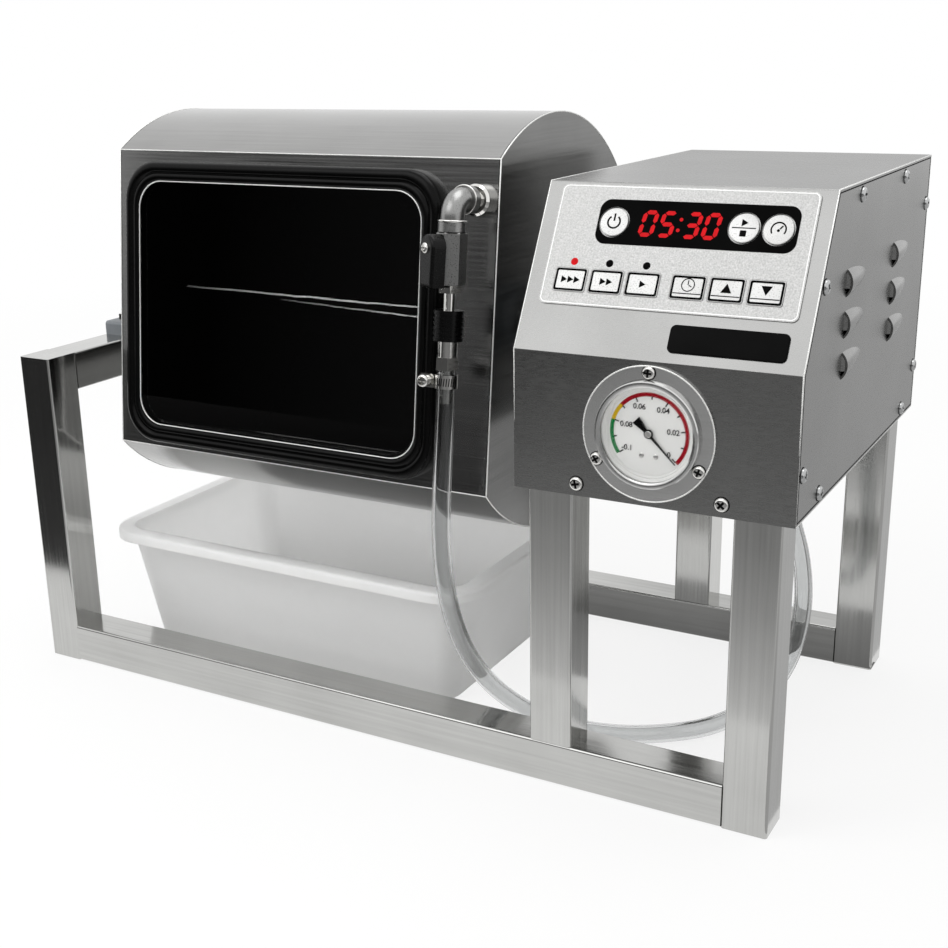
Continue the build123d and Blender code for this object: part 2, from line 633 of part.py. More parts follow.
def barb_profile(plane, length):
    """Add a hose barb with its ridges, pointing along the plane's own direction."""
    core = HOSE_BORE - HOSE_FIT - BARB_RIDGE
    extrude(disc(plane, core), amount=length)
    step = length / (BARB_RIDGES + 1)
    for number in range(BARB_RIDGES):
        extrude(disc(plane.offset((number + 1) * step), core + BARB_RIDGE), amount=step / 2)


with BuildPart() as coupler_body:
    with BuildSketch(chain_disc(COUPLER_BOTTOM)):
        Circle(COUPLER_RADIUS)
    extrude(amount=COUPLER_LENGTH)
    with BuildSketch(chain_disc(HEX_TOP)):
        Circle(COUPLER_WAIST)
    extrude(amount=COUPLER_WAIST_LENGTH)
    with BuildSketch(chain_disc(HEX_BOTTOM)):
        RegularPolygon(COUPLER_HEX, 6)
    extrude(amount=COUPLER_HEX_LENGTH)
    barb_profile(Plane(origin=chain_disc(HEX_BOTTOM).origin, x_dir=(1, 0, 0), z_dir=-UPWARD), BARB_LENGTH)
    with BuildSketch(chain_disc(PLUG_BOTTOM)):
        Circle(PLUG_TIP + RUNNING_GAP)
    extrude(amount=-PLUG_TIP_LENGTH - BALL_GAP, mode=Mode.SUBTRACT)
    with BuildSketch(chain_disc(PLUG_BOTTOM)):
        Circle(PLUG_TIP / 2)
    extrude(amount=-(PLUG_BOTTOM - HEX_BOTTOM + BARB_LENGTH), mode=Mode.SUBTRACT)
save(coupler_body, "coupler_body")

with BuildPart() as coupler_sleeve:
    with BuildSketch(chain_disc(COUPLER_BOTTOM)):
        Circle(SLEEVE_RADIUS)
        Circle(COUPLER_RADIUS + RUNNING_GAP, mode=Mode.SUBTRACT)
    extrude(amount=COUPLER_LENGTH)
    groove_step = COUPLER_LENGTH / (SLEEVE_GROOVES + 1)
    for number in range(SLEEVE_GROOVES):
        with BuildSketch(chain_disc(COUPLER_BOTTOM + (number + 0.75) * groove_step)):
            Circle(SLEEVE_RADIUS)
            Circle(SLEEVE_RADIUS - SLEEVE_GROOVE, mode=Mode.SUBTRACT)
        extrude(amount=groove_step / 2, mode=Mode.SUBTRACT)
save(coupler_sleeve, "coupler_sleeve")

CLAMP_TOP = HEX_BOTTOM - CLAMP_DROP
CLAMP_INSIDE = HOSE_RADIUS + HOSE_FIT
with BuildPart() as hose_clamp:
    with BuildSketch(chain_disc(CLAMP_TOP - CLAMP_WIDTH)):
        Circle(CLAMP_INSIDE + CLAMP_BAND)
        with Locations((-CLAMP_INSIDE - CLAMP_HOUSING / 2, 0)):
            Rectangle(CLAMP_HOUSING, CLAMP_HOUSING)
        Circle(CLAMP_INSIDE, mode=Mode.SUBTRACT)
    extrude(amount=CLAMP_WIDTH)
    # Worm screw through the housing, with its slotted head to the front.
    screw_left = CLAMP_INSIDE + CLAMP_HOUSING * 0.6
    screw_middle = CHAIN.from_local_coords((-screw_left, 0, CLAMP_TOP - CLAMP_WIDTH / 2))
    with BuildSketch(Plane(origin=screw_middle, x_dir=(1, 0, 0), z_dir=-INWARD)):
        Circle(CLAMP_WIDTH * 0.36)
    extrude(amount=CLAMP_HOUSING * 0.85)
save(hose_clamp, "hose_clamp")

# Clear hose: straight down from the barb, along the floor and up to the fitting under the box.
HOSE_START = CHAIN.from_local_coords((0, 0, HEX_BOTTOM))
HOSE_ROUTE = [
    HOSE_START,
    CHAIN.from_local_coords((0, 0, HEX_BOTTOM - 52)),
    Vector(VALVE_X - 2, Y0 + 4, 166),
    Vector(VALVE_X - 1, Y0 + 8, 118),
    Vector(VALVE_X + 4.5, Y0 + 20, 76),
    Vector(VALVE_X + 15, Y0 + 36, 44.5),
    Vector(VALVE_X + 34.5, Y0 + 50.5, 22.5),
    Vector(VALVE_X + 63.5, Y0 + 60.5, 10),
    Vector(VALVE_X + 98.5, Y0 + 70.5, 7),
    Vector(PUMP_X - 58, BULKHEAD_Y - 69, 7),
    Vector(PUMP_X - 29, BULKHEAD_Y - 44, 8.5),
    Vector(PUMP_X - 5, BULKHEAD_Y - 16, 21),
    Vector(PUMP_X + 9, BULKHEAD_Y + 8, 49),
    Vector(PUMP_X + 12.5, BULKHEAD_Y + 19, BULKHEAD_Z - 115),
    Vector(PUMP_X + 9, BULKHEAD_Y + 17, BULKHEAD_Z - 77),
    Vector(PUMP_X + 2.5, BULKHEAD_Y + 6.5, BULKHEAD_Z - 46),
    Vector(PUMP_X, BULKHEAD_Y, BULKHEAD_Z - 24),
    Vector(PUMP_X, BULKHEAD_Y, BULKHEAD_Z),
]


def bend_radii(route):
    """The largest arc that each corner of a route has room for."""
    radii = []
    for before, corner, after in zip(route, route[1:], route[2:]):
        turn = (corner - before).get_angle(after - corner)
        shorter = min((corner - before).length, (after - corner).length)
        radii.append(0.45 * shorter / tan(radians(turn / 2)))
    return radii


HOSE_RADII = bend_radii(HOSE_ROUTE)
with BuildPart() as hose:
    with BuildLine() as hose_path:
        FilletPolyline(*HOSE_ROUTE, radius=HOSE_RADII)
    with BuildSketch(Plane(origin=HOSE_START, x_dir=(1, 0, 0), z_dir=-UPWARD)):
        Circle(HOSE_RADIUS)
        Circle(HOSE_BORE, mode=Mode.SUBTRACT)
    sweep()
save(hose, "hose")
hose_length = sum(edge.length for edge in hose_path.edges())
hose_section = pi * (HOSE_RADIUS**2 - HOSE_BORE**2)
print("hose radii", [round(radius) for radius in HOSE_RADII])
print("hose length", round(hose_length, 1))
print("hose volume over section times length", round(hose.part.volume / hose_section / hose_length, 4))

# Fitting through the floor of the box for the hose and the line to the pump.
BULKHEAD_PLACE = (PUMP_X, BULKHEAD_Y, BOX_BOTTOM)
with BuildPart() as hose_bulkhead:
    with BuildSketch(Plane(BULKHEAD_PLACE)):
        RegularPolygon(BULKHEAD_HEX, 6)
    extrude(amount=-BULKHEAD_HEX_LENGTH)
    with BuildSketch(Plane(BULKHEAD_PLACE)):
        Circle(BULKHEAD_STEM)
    extrude(amount=BOX_SHEET)
    with BuildSketch(Plane(BULKHEAD_PLACE).offset(BOX_SHEET)):
        RegularPolygon(BULKHEAD_HEX, 6)
    extrude(amount=BULKHEAD_HEX_LENGTH)
    barb_place = (PUMP_X, BULKHEAD_Y, BULKHEAD_Z)
    barb_profile(Plane(origin=barb_place, x_dir=(1, 0, 0), z_dir=(0, 0, -1)), BARB_LENGTH)
save(hose_bulkhead, "hose_bulkhead")


# Control box: bent cover, side covers, back panel and floor pan.
def box_section(x, inset):
    """The box's side outline at x, drawn in by an inset."""
    lean = atan2(BOX_SLOPE_RUN, BOX_HEIGHT - BOX_KNEE)
    knee_shift = inset * tan(lean / 2)
    top_shift = inset * tan((radians(90) - lean) / 2)
    with BuildSketch(Plane.YZ.offset(x)) as section:
        with BuildLine():
            Polyline(
                (BOX_Y0 + inset, BOX_BOTTOM + inset),
                (BOX_Y0 + inset, BOX_KNEE_Z - knee_shift),
                (BOX_SLOPE_Y + top_shift, BOX_TOP - inset),
                (BOX_Y1 - inset, BOX_TOP - inset),
                (BOX_Y1 - inset, BOX_BOTTOM + inset),
                close=True,
            )
        make_face()
    return section.sketch


DIGITS_MIDDLE = (DIGITS_LEFT + DIGITS_WIDTH / 2, ROUND_KEY_LEVEL)
FRONT_SCREWS = (GAUGE_LEFT - GAUGE_FLANGE - SCREW_HEAD, GAUGE_LEFT + GAUGE_FLANGE + SCREW_HEAD)

with BuildPart() as box_cover:
    cover_width = COVER_X1 - COVER_X0
    extrude(box_section(COVER_X0, 0), amount=cover_width)
    extrude(
        box_section(COVER_X0 + BOX_SHEET, BOX_SHEET), amount=cover_width - 2 * BOX_SHEET, mode=Mode.SUBTRACT
    )
    # The ends keep a turned-in flange that the side covers are screwed to.
    extrude(box_section(COVER_X0, BOX_FLANGE), amount=cover_width, mode=Mode.SUBTRACT)
    # The back and the underside are open.
    with BuildSketch(Plane.XZ.offset(-BOX_Y1)):
        with Locations(((BOX_X0 + BOX_X1) / 2, (BOX_BOTTOM + BOX_TOP) / 2 - BOX_SHEET)):
            Rectangle(BOX_WIDTH, BOX_HEIGHT)
    extrude(amount=BOX_SHEET, mode=Mode.SUBTRACT)
    with BuildSketch(Plane.XY.offset(BOX_BOTTOM)):
        with Locations(((BOX_X0 + BOX_X1) / 2, (BOX_Y0 + BOX_Y1) / 2 + BOX_SHEET)):
            Rectangle(BOX_WIDTH, BOX_Y1 - BOX_Y0)
    extrude(amount=BOX_SHEET, mode=Mode.SUBTRACT)
    with BuildSketch(GAUGE):
        Circle(GAUGE_CAN)
    extrude(amount=-2 * BOX_SHEET, mode=Mode.SUBTRACT)
    with BuildSketch(PANEL):
        with Locations(DIGITS_MIDDLE):
            Rectangle(DIGITS_WIDTH, DIGITS_HEIGHT)
    extrude(amount=-2 * BOX_SHEET, mode=Mode.SUBTRACT)
    with BuildSketch(Plane(origin=(BOX_X0, BOX_Y0, BOX_BOTTOM), x_dir=(1, 0, 0), z_dir=(0, -1, 0))):
        with Locations(*[(left, SCREW_INSET) for left in FRONT_SCREWS]):
            Circle(SCREW_SHANK)
    extrude(amount=-2 * BOX_SHEET, mode=Mode.SUBTRACT)
    bends = box_cover.edges().filter_by(Axis.X)
    outer_bends = [
        edge
        for edge in bends
        if abs(edge.center().Y - BOX_Y0) + abs(edge.center().Z - BOX_KNEE_Z) < BOX_SHEET / 2
        or abs(edge.center().Y - BOX_SLOPE_Y) + abs(edge.center().Z - BOX_TOP) < BOX_SHEET / 2
    ]
    fillet(outer_bends, BOX_SHEET * 0.9)
save(box_cover, "box_cover")

# Screw places on a side cover: depth from the box's front and height from its bottom.
SLOPE_MIDDLE = (BOX_SLOPE_RUN / 2, (BOX_KNEE + BOX_HEIGHT) / 2)
BOX_DEPTH = BOX_Y1 - BOX_Y0
SIDE_SCREWS = [
    (SCREW_INSET, BOX_KNEE / 3),
    (SLOPE_MIDDLE[0] - SCREW_INSET * SLOPE_NORMAL.Y, SLOPE_MIDDLE[1] - SCREW_INSET * SLOPE_NORMAL.Z),
    (BOX_SLOPE_RUN * 2, BOX_HEIGHT - SCREW_INSET),
    (BOX_DEPTH * 0.73, BOX_HEIGHT - SCREW_INSET),
    (BOX_DEPTH - SCREW_INSET, BOX_HEIGHT * 0.82),
    (BOX_DEPTH - SCREW_INSET, BOX_HEIGHT * 0.18),
    (BOX_DEPTH * 0.87, SCREW_INSET),
    (BOX_DEPTH * 0.15, SCREW_INSET),
]

with BuildPart() as box_left_cover:
    extrude(box_section(BOX_X0, 0), amount=BOX_SHEET)
    with BuildSketch(Plane(origin=(BOX_X0, AXIS_Y, AXIS_Z), z_dir=(1, 0, 0))):
        Circle(DRIVE_SHAFT_RADIUS + BOX_SHEET)
    extrude(amount=BOX_SHEET, mode=Mode.SUBTRACT)
save(box_left_cover, "box_left_cover")

LOUVRE_FRONTS = [BOX_Y0 + LOUVRE_DEPTH + column * LOUVRE_COLUMN_PITCH for column in range(LOUVRE_COLUMNS)]
LOUVRE_LEVELS = [BOX_BOTTOM + LOUVRE_LEVEL + row * LOUVRE_PITCH for row in range(LOUVRE_ROWS)]


# Each louvre is a pressed bulge: a shape turned about a line inside the cover and cut open in front.
LOUVRE_RADIUS = (LOUVRE_HEIGHT**2 / 4 + LOUVRE_RISE**2) / (2 * LOUVRE_RISE)
LOUVRE_LINE = BOX_X1 + LOUVRE_RISE - LOUVRE_RADIUS


def louvre_half(front, level, inset):
    """Half the section of a louvre's bulge, from its turning line outwards, drawn in by an inset."""
    outer = LOUVRE_RADIUS - inset
    tail = BOX_X1 - LOUVRE_LINE - inset
    start = (LOUVRE_LINE, front, level)
    with BuildSketch(Plane(origin=start, x_dir=(0, 1, 0), z_dir=(0, 0, -1))) as section:
        with BuildLine():
            Polyline((LOUVRE_LENGTH, tail), (LOUVRE_LENGTH, 0), (0, 0), (0, outer))
            TangentArc((0, outer), (LOUVRE_LENGTH, tail), tangent=(1, 0))
        make_face()
    return section.sketch


def louvre_hood(front, level):
    """The pressed sheet over one louvre, down to the inside of the cover."""
    line = Axis((LOUVRE_LINE, front, level), (0, 1, 0))
    with BuildPart() as hood:
        revolve(louvre_half(front, level, 0), line)
        revolve(louvre_half(front, level, BOX_SHEET), line, mode=Mode.SUBTRACT)
        with BuildSketch(Plane.YZ.offset(BOX_X1 - BOX_SHEET)):
            with Locations((front + LOUVRE_LENGTH / 2, level)):
                Rectangle(LOUVRE_LENGTH, 2 * LOUVRE_HEIGHT)
        extrude(amount=BOX_SHEET + LOUVRE_RISE, mode=Mode.INTERSECT)
    return hood.part


with BuildPart() as box_right_cover:
    extrude(box_section(BOX_X1 - BOX_SHEET, 0), amount=BOX_SHEET)
    for front in LOUVRE_FRONTS:
        for level in LOUVRE_LEVELS:
            line = Axis((LOUVRE_LINE, front, level), (0, 1, 0))
            revolve(louvre_half(front, level, BOX_SHEET), line, mode=Mode.SUBTRACT)
            add(louvre_hood(front, level))
    with BuildSketch(Plane(origin=(BOX_X1, BOX_Y0, BOX_BOTTOM), x_dir=(0, 1, 0), z_dir=(1, 0, 0))):
        with Locations(*SIDE_SCREWS):
            Circle(SCREW_SHANK)
    extrude(amount=-BOX_SHEET, mode=Mode.SUBTRACT)
save(box_right_cover, "box_right_cover")

GLAND_PLACE = (BOX_X0 + GLAND_LEFT, BOX_Y1, BOX_BOTTOM + GLAND_LEVEL)
with BuildPart() as box_back_panel:
    with BuildSketch(Plane.XZ.offset(-BOX_Y1)):
        with Locations(((BOX_X0 + BOX_X1) / 2, (BOX_BOTTOM + BOX_TOP) / 2)):
            Rectangle(COVER_X1 - COVER_X0, BOX_HEIGHT - 2 * BOX_SHEET)
    extrude(amount=BOX_SHEET)
    with BuildSketch(Plane(origin=GLAND_PLACE, x_dir=(1, 0, 0), z_dir=(0, -1, 0))):
        Circle(GLAND_RADIUS * 0.8)
    extrude(amount=BOX_SHEET, mode=Mode.SUBTRACT)
save(box_back_panel, "box_back_panel")

with BuildPart() as mains_gland:
    with BuildSketch(Plane(origin=GLAND_PLACE, x_dir=(1, 0, 0), z_dir=(0, 1, 0))):
        RegularPolygon(GLAND_RADIUS, 6)
    extrude(amount=GLAND_LENGTH / 2)
    with BuildSketch(Plane(origin=GLAND_PLACE, x_dir=(1, 0, 0), z_dir=(0, 1, 0))):
        Circle(GLAND_RADIUS * 0.8)
    extrude(amount=GLAND_LENGTH)
    fillet(mains_gland.faces().sort_by(Axis.Y)[-1].edges(), GLAND_LENGTH / 6)
    with BuildSketch(Plane(origin=GLAND_PLACE, x_dir=(1, 0, 0), z_dir=(0, 1, 0))):
        Circle(GLAND_RADIUS * 0.8)
    extrude(amount=-BOX_SHEET)
    with BuildSketch(Plane(origin=GLAND_PLACE, x_dir=(1, 0, 0), z_dir=(0, 1, 0))):
        Circle(GLAND_RADIUS * 0.4)
    extrude(amount=GLAND_LENGTH, both=True, mode=Mode.SUBTRACT)
save(mains_gland, "mains_gland")

PAN_FRONT = BOX_Y0 + BOX_SHEET
with BuildPart() as box_floor_pan:
    with BuildSketch(Plane.XY.offset(BOX_BOTTOM)):
        with Locations(((BOX_X0 + BOX_X1) / 2, (PAN_FRONT + BOX_Y1) / 2)):
            Rectangle(COVER_X1 - COVER_X0, BOX_Y1 - PAN_FRONT)
    extrude(amount=BOX_SHEET)
    # A turned-up edge behind the front sheet takes its two screws.
    with BuildSketch(Plane.XY.offset(BOX_BOTTOM)):
        with Locations(((BOX_X0 + BOX_X1) / 2, PAN_FRONT + BOX_SHEET / 2)):
            Rectangle(COVER_X1 - COVER_X0 - 2 * BOX_FLANGE, BOX_SHEET)
    extrude(amount=BOX_FLANGE)
    with BuildSketch(Plane(BULKHEAD_PLACE)):
        Circle(BULKHEAD_STEM)
    extrude(amount=BOX_SHEET, mode=Mode.SUBTRACT)
    with BuildSketch(GAUGE):
        Circle(GAUGE_CAN)
    extrude(amount=-4 * BOX_SHEET, mode=Mode.SUBTRACT)
    with BuildSketch(Plane(origin=(BOX_X0, BOX_Y0, BOX_BOTTOM), x_dir=(1, 0, 0), z_dir=(0, -1, 0))):
        with Locations(*[(left, SCREW_INSET) for left in FRONT_SCREWS]):
            Circle(SCREW_SHANK)
    extrude(amount=-4 * BOX_SHEET, mode=Mode.SUBTRACT)
save(box_floor_pan, "box_floor_pan")


def pan_screw(plane, head, depth):
    """Add one pan-head screw on a plane, its shank reaching a depth behind it."""
    extrude(disc(plane, head), amount=SCREW_RISE, taper=20)
    extrude(disc(plane, SCREW_SHANK), amount=-depth)


GAUGE_SCREW_CIRCLE = (GAUGE_BEZEL + GAUGE_FLANGE) / 2
GAUGE_SCREWS = []
for number in range(3):
    turn = radians(90 + 120 * number)
    GAUGE_SCREWS.append((GAUGE_SCREW_CIRCLE * cos(turn), GAUGE_SCREW_CIRCLE * sin(turn)))

with BuildPart() as panel_screws:
    for depth, height in SIDE_SCREWS:
        screw_place = (BOX_X1, BOX_Y0 + depth, BOX_BOTTOM + height)
        pan_screw(Plane(origin=screw_place, x_dir=(0, 1, 0), z_dir=(1, 0, 0)), SCREW_HEAD, BOX_SHEET)
    for left in FRONT_SCREWS:
        screw_place = (BOX_X0 + left, BOX_Y0, BOX_BOTTOM + SCREW_INSET)
        pan_screw(Plane(origin=screw_place, x_dir=(1, 0, 0), z_dir=(0, -1, 0)), SCREW_HEAD, 2 * BOX_SHEET)
    for across, up in GAUGE_SCREWS:
        screw_place = GAUGE.from_local_coords((across, up, GAUGE_FLANGE_THICKNESS))
        screw_plane = Plane(origin=screw_place, x_dir=(1, 0, 0), z_dir=(0, -1, 0))
        pan_screw(screw_plane, GAUGE_SCREW_HEAD, GAUGE_FLANGE_THICKNESS)
save(panel_screws, "panel_screws")

# Keypad: overlay and nine keys that dip into their holes.
KEY_PLACES = {}
for label, share in ROUND_KEY_SHARES.items():
    KEY_PLACES[label] = (PAD_LEFT + PAD_WIDTH * share, ROUND_KEY_LEVEL)
for first, labels in ((SPEED_KEYS_SHARE, SPEED_KEYS), (TIME_KEYS_SHARE, TIME_KEYS)):
    for number, label in enumerate(labels):
        share = first + number * KEY_PITCH_SHARE
        KEY_PLACES[label] = (PAD_LEFT + PAD_WIDTH * share, KEY_LEVEL)
FLAT_KEYS = [KEY_PLACES[label] for label in SPEED_KEYS + TIME_KEYS]

with BuildPart() as keypad_overlay:
    with BuildSketch(PANEL):
        with Locations((PAD_LEFT + PAD_WIDTH / 2, PAD_LEVEL + PAD_HEIGHT / 2)):
            RectangleRounded(PAD_WIDTH, PAD_HEIGHT, PAD_CORNER)
        with Locations(*[KEY_PLACES[label] for label in ROUND_KEY_SHARES]):
            Circle(ROUND_KEY_RADIUS + KEY_GAP, mode=Mode.SUBTRACT)
        with Locations(*FLAT_KEYS):
            RectangleRounded(
                KEY_WIDTH + 2 * KEY_GAP, KEY_HEIGHT + 2 * KEY_GAP, KEY_CORNER + KEY_GAP, mode=Mode.SUBTRACT
            )
    extrude(amount=PAD_THICKNESS)
save(keypad_overlay, "keypad_overlay")

for label, place in KEY_PLACES.items():
    with BuildPart() as key:
        with BuildSketch(PANEL.offset(KEY_TRAVEL)):
            with Locations(place):
                if label in ROUND_KEY_SHARES:
                    Circle(ROUND_KEY_RADIUS)
                else:
                    RectangleRounded(KEY_WIDTH, KEY_HEIGHT, KEY_CORNER)
        extrude(amount=KEY_THICKNESS)
    save(key, label)

# Board behind the sloped sheet, on four posts, with the digit block up to the window.
BOARD_WIDTH = PAD_WIDTH - 2 * BOARD_MARGIN
BOARD_HEIGHT = PAD_HEIGHT - 2 * BOARD_MARGIN
BOARD_MIDDLE = (PAD_LEFT + PAD_WIDTH / 2, PAD_LEVEL + PAD_HEIGHT / 2 - BOARD_MARGIN)
BOARD = PANEL.offset(-BOX_SHEET - BOARD_STANDOFF)
with BuildPart() as control_board:
    with BuildSketch(BOARD):
        with Locations(BOARD_MIDDLE):
            Rectangle(BOARD_WIDTH, BOARD_HEIGHT)
    extrude(amount=-BOARD_THICKNESS)
    with BuildSketch(BOARD):
        with Locations(BOARD_MIDDLE):
            with GridLocations(BOARD_WIDTH - 4 * STANDOFF_RADIUS, BOARD_HEIGHT - 4 * STANDOFF_RADIUS, 2, 2):
                Circle(STANDOFF_RADIUS)
    extrude(amount=BOARD_STANDOFF)
    with BuildSketch(BOARD):
        with Locations(DIGITS_MIDDLE):
            Rectangle(DIGITS_WIDTH - 2 * KEY_GAP, DIGITS_HEIGHT - 2 * KEY_GAP)
    extrude(amount=BOARD_STANDOFF + BOX_SHEET)
save(control_board, "control_board")

# Vacuum gauge: flanged can, bezel, dial, needle and glass.
DIAL_BACK = GAUGE_FLANGE_THICKNESS - GAUGE_SINK
DIAL_FRONT = DIAL_BACK + GAUGE_DIAL
BEZEL_FRONT = GAUGE_FLANGE_THICKNESS + GAUGE_BEZEL_RISE
GLASS_BACK = BEZEL_FRONT - GAUGE_WALL - GAUGE_GLASS

with BuildPart() as gauge_case:
    with BuildSketch(GAUGE):
        Circle(GAUGE_FLANGE)
        with Locations(*GAUGE_SCREWS):
            Circle(SCREW_SHANK, mode=Mode.SUBTRACT)
    extrude(amount=GAUGE_FLANGE_THICKNESS)
    with BuildSketch(GAUGE):
        Circle(GAUGE_CAN)
    extrude(amount=-GAUGE_CAN_DEPTH)
    with BuildSketch(GAUGE.offset(GAUGE_FLANGE_THICKNESS)):
        Circle(GAUGE_CAN - GAUGE_WALL)
    extrude(amount=-GAUGE_SINK, mode=Mode.SUBTRACT)
    # The dial rests on the shoulder that this narrower bore leaves.
    with BuildSketch(GAUGE.offset(DIAL_BACK)):
        Circle(GAUGE_CAN - 3 * GAUGE_WALL)
    extrude(amount=GAUGE_WALL - DIAL_BACK - GAUGE_CAN_DEPTH, mode=Mode.SUBTRACT)
    with BuildSketch(GAUGE.offset(-GAUGE_CAN_DEPTH)):
        Circle(GAUGE_PORT)
    extrude(amount=-GAUGE_PORT_LENGTH)
save(gauge_case, "gauge_case")

with BuildPart() as gauge_bezel:
    with BuildSketch(GAUGE.offset(GAUGE_FLANGE_THICKNESS)):
        Circle(GAUGE_BEZEL)
    extrude(amount=GAUGE_BEZEL_RISE)
    fillet(front_edges(gauge_bezel, GAUGE), GAUGE_WALL * 2)
    with BuildSketch(GAUGE.offset(GAUGE_FLANGE_THICKNESS)):
        Circle(GAUGE_CAN)
    extrude(amount=GAUGE_BEZEL_RISE - GAUGE_WALL, mode=Mode.SUBTRACT)
    with BuildSketch(GAUGE.offset(GAUGE_FLANGE_THICKNESS)):
        Circle(GAUGE_WINDOW)
    extrude(amount=GAUGE_BEZEL_RISE, mode=Mode.SUBTRACT)
save(gauge_bezel, "gauge_bezel")

with BuildPart() as gauge_dial:
    with BuildSketch(GAUGE.offset(DIAL_BACK)):
        Circle(GAUGE_CAN - GAUGE_WALL)
    extrude(amount=GAUGE_DIAL)
    with BuildSketch(GAUGE.offset(DIAL_FRONT)):
        Circle(GAUGE_PIN)
    extrude(amount=NEEDLE_CLEAR + NEEDLE_THICKNESS)
save(gauge_dial, "gauge_dial")

with BuildPart() as gauge_needle:
    with BuildSketch(GAUGE.offset(DIAL_FRONT + NEEDLE_CLEAR)):
        with BuildLine():
            Polyline(
                (-NEEDLE_TAIL, -NEEDLE_TAIL_WIDTH / 2),
                (0, -NEEDLE_WIDTH / 2),
                (NEEDLE_LENGTH, 0),
                (0, NEEDLE_WIDTH / 2),
                (-NEEDLE_TAIL, NEEDLE_TAIL_WIDTH / 2),
                close=True,
            )
        make_face()
        Circle(GAUGE_HUB)
        Circle(GAUGE_PIN + RUNNING_GAP, mode=Mode.SUBTRACT)
    extrude(amount=NEEDLE_THICKNESS)
gauge_needle.part = gauge_needle.part.rotate(Axis(GAUGE.origin, GAUGE.z_dir), NEEDLE_REST_ANGLE)
save(gauge_needle, "gauge_needle")

with BuildPart() as gauge_glass:
    with BuildSketch(GAUGE.offset(GLASS_BACK)):
        Circle(GAUGE_CAN)
    extrude(amount=GAUGE_GLASS)
save(gauge_glass, "gauge_glass")

# Drive: bearing on the box's side, worm gearbox with its motor, and the bracket under it.
with BuildPart() as flange_bearing:
    with BuildSketch(Plane(origin=(BOX_X0, AXIS_Y, AXIS_Z), x_dir=(0, 1, 0), z_dir=(-1, 0, 0))):
        SlotOverall(FLANGE_BEARING_LENGTH, 2.4 * BEARING_RADIUS)
        Circle(DRIVE_SHAFT_RADIUS + RUNNING_GAP, mode=Mode.SUBTRACT)
    extrude(amount=FLANGE_BEARING_THICKNESS * 0.6)
    with BuildSketch(Plane(origin=(BOX_X0, AXIS_Y, AXIS_Z), x_dir=(0, 1, 0), z_dir=(-1, 0, 0))):
        Circle(BEARING_RADIUS)
        Circle(DRIVE_SHAFT_RADIUS + RUNNING_GAP, mode=Mode.SUBTRACT)
    extrude(amount=FLANGE_BEARING_THICKNESS)
save(flange_bearing, "flange_bearing")

GEARBOX_MIDDLE = (GEARBOX_X0 + GEARBOX / 2, AXIS_Y, AXIS_Z)
with BuildPart() as gear_motor:
    with BuildSketch(Plane(origin=(GEARBOX_X0, AXIS_Y, AXIS_Z), x_dir=(0, 1, 0), z_dir=(1, 0, 0))):
        RectangleRounded(GEARBOX, GEARBOX, GEARBOX_EDGE)
    extrude(amount=GEARBOX)
    with BuildSketch(Plane(origin=GEARBOX_MIDDLE, x_dir=(1, 0, 0), z_dir=(0, 1, 0)).offset(GEARBOX / 2)):
        Circle(MOTOR_RADIUS)
    extrude(amount=MOTOR_LENGTH)
    fillet(gear_motor.faces().sort_by(Axis.Y)[-1].edges(), GEARBOX_EDGE)
    with BuildSketch(Plane(origin=(GEARBOX_X0, AXIS_Y, AXIS_Z), z_dir=(1, 0, 0))):
        Circle(DRIVE_SHAFT_RADIUS + RUNNING_GAP)
    extrude(amount=GEARBOX, mode=Mode.SUBTRACT)
save(gear_motor, "gear_motor")

BRACKET_HEIGHT = AXIS_Z - GEARBOX / 2 - BOX_BOTTOM - BOX_SHEET
with BuildPart() as motor_bracket:
    with BuildSketch(Plane.XY.offset(BOX_BOTTOM + BOX_SHEET)):
        with Locations((GEARBOX_MIDDLE[0], AXIS_Y)):
            Rectangle(GEARBOX, GEARBOX)
    extrude(amount=BRACKET_HEIGHT)
    # A channel with its open sides to the front and back.
    with BuildSketch(Plane.XY.offset(BOX_BOTTOM + BOX_SHEET)):
        with Locations((GEARBOX_MIDDLE[0], AXIS_Y)):
            Rectangle(GEARBOX - 2 * BRACKET_SHEET, GEARBOX)
    extrude(amount=BRACKET_HEIGHT - BRACKET_SHEET, mode=Mode.SUBTRACT)
save(motor_bracket, "motor_bracket")

# Diaphragm pump on the floor pan, with its head at the front, and the line from the hose fitting.
PUMP_FRONT = Plane(origin=(PUMP_X, PUMP_Y, PUMP_Z), x_dir=(1, 0, 0), z_dir=(0, -1, 0))
with BuildPart() as vacuum_pump:
    with BuildSketch(PUMP_FRONT):
        Circle(PUMP_RADIUS)
    extrude(amount=-PUMP_LENGTH)
    with BuildSketch(PUMP_FRONT):
        RectangleRounded(PUMP_HEAD, PUMP_HEAD, GEARBOX_EDGE)
    extrude(amount=-PUMP_HEAD_LENGTH)
    with BuildSketch(Plane.XY.offset(BOX_BOTTOM + BOX_SHEET)):
        with Locations((PUMP_X, PUMP_Y + PUMP_LENGTH / 2)):
            Rectangle(PUMP_RADIUS, PUMP_LENGTH)
    extrude(amount=PUMP_Z - BOX_BOTTOM - BOX_SHEET)
    with BuildSketch(PUMP_FRONT):
        Circle(PUMP_PORT)
    extrude(amount=PUMP_PORT_LENGTH)
save(vacuum_pump, "vacuum_pump")

LINE_START = Vector(BULKHEAD_PLACE[0], BULKHEAD_PLACE[1], BOX_BOTTOM + BOX_SHEET + BULKHEAD_HEX_LENGTH)
LINE_END = Vector(PUMP_X, PUMP_Y - PUMP_PORT_LENGTH, PUMP_Z)
with BuildPart() as vacuum_line:
    with BuildLine():
        FilletPolyline(LINE_START, Vector(LINE_START.X, LINE_START.Y, PUMP_Z), LINE_END, radius=LINE_BEND)
    with BuildSketch(Plane(LINE_START)):
        Circle(LINE_RADIUS)
    sweep()
save(vacuum_line, "vacuum_line")

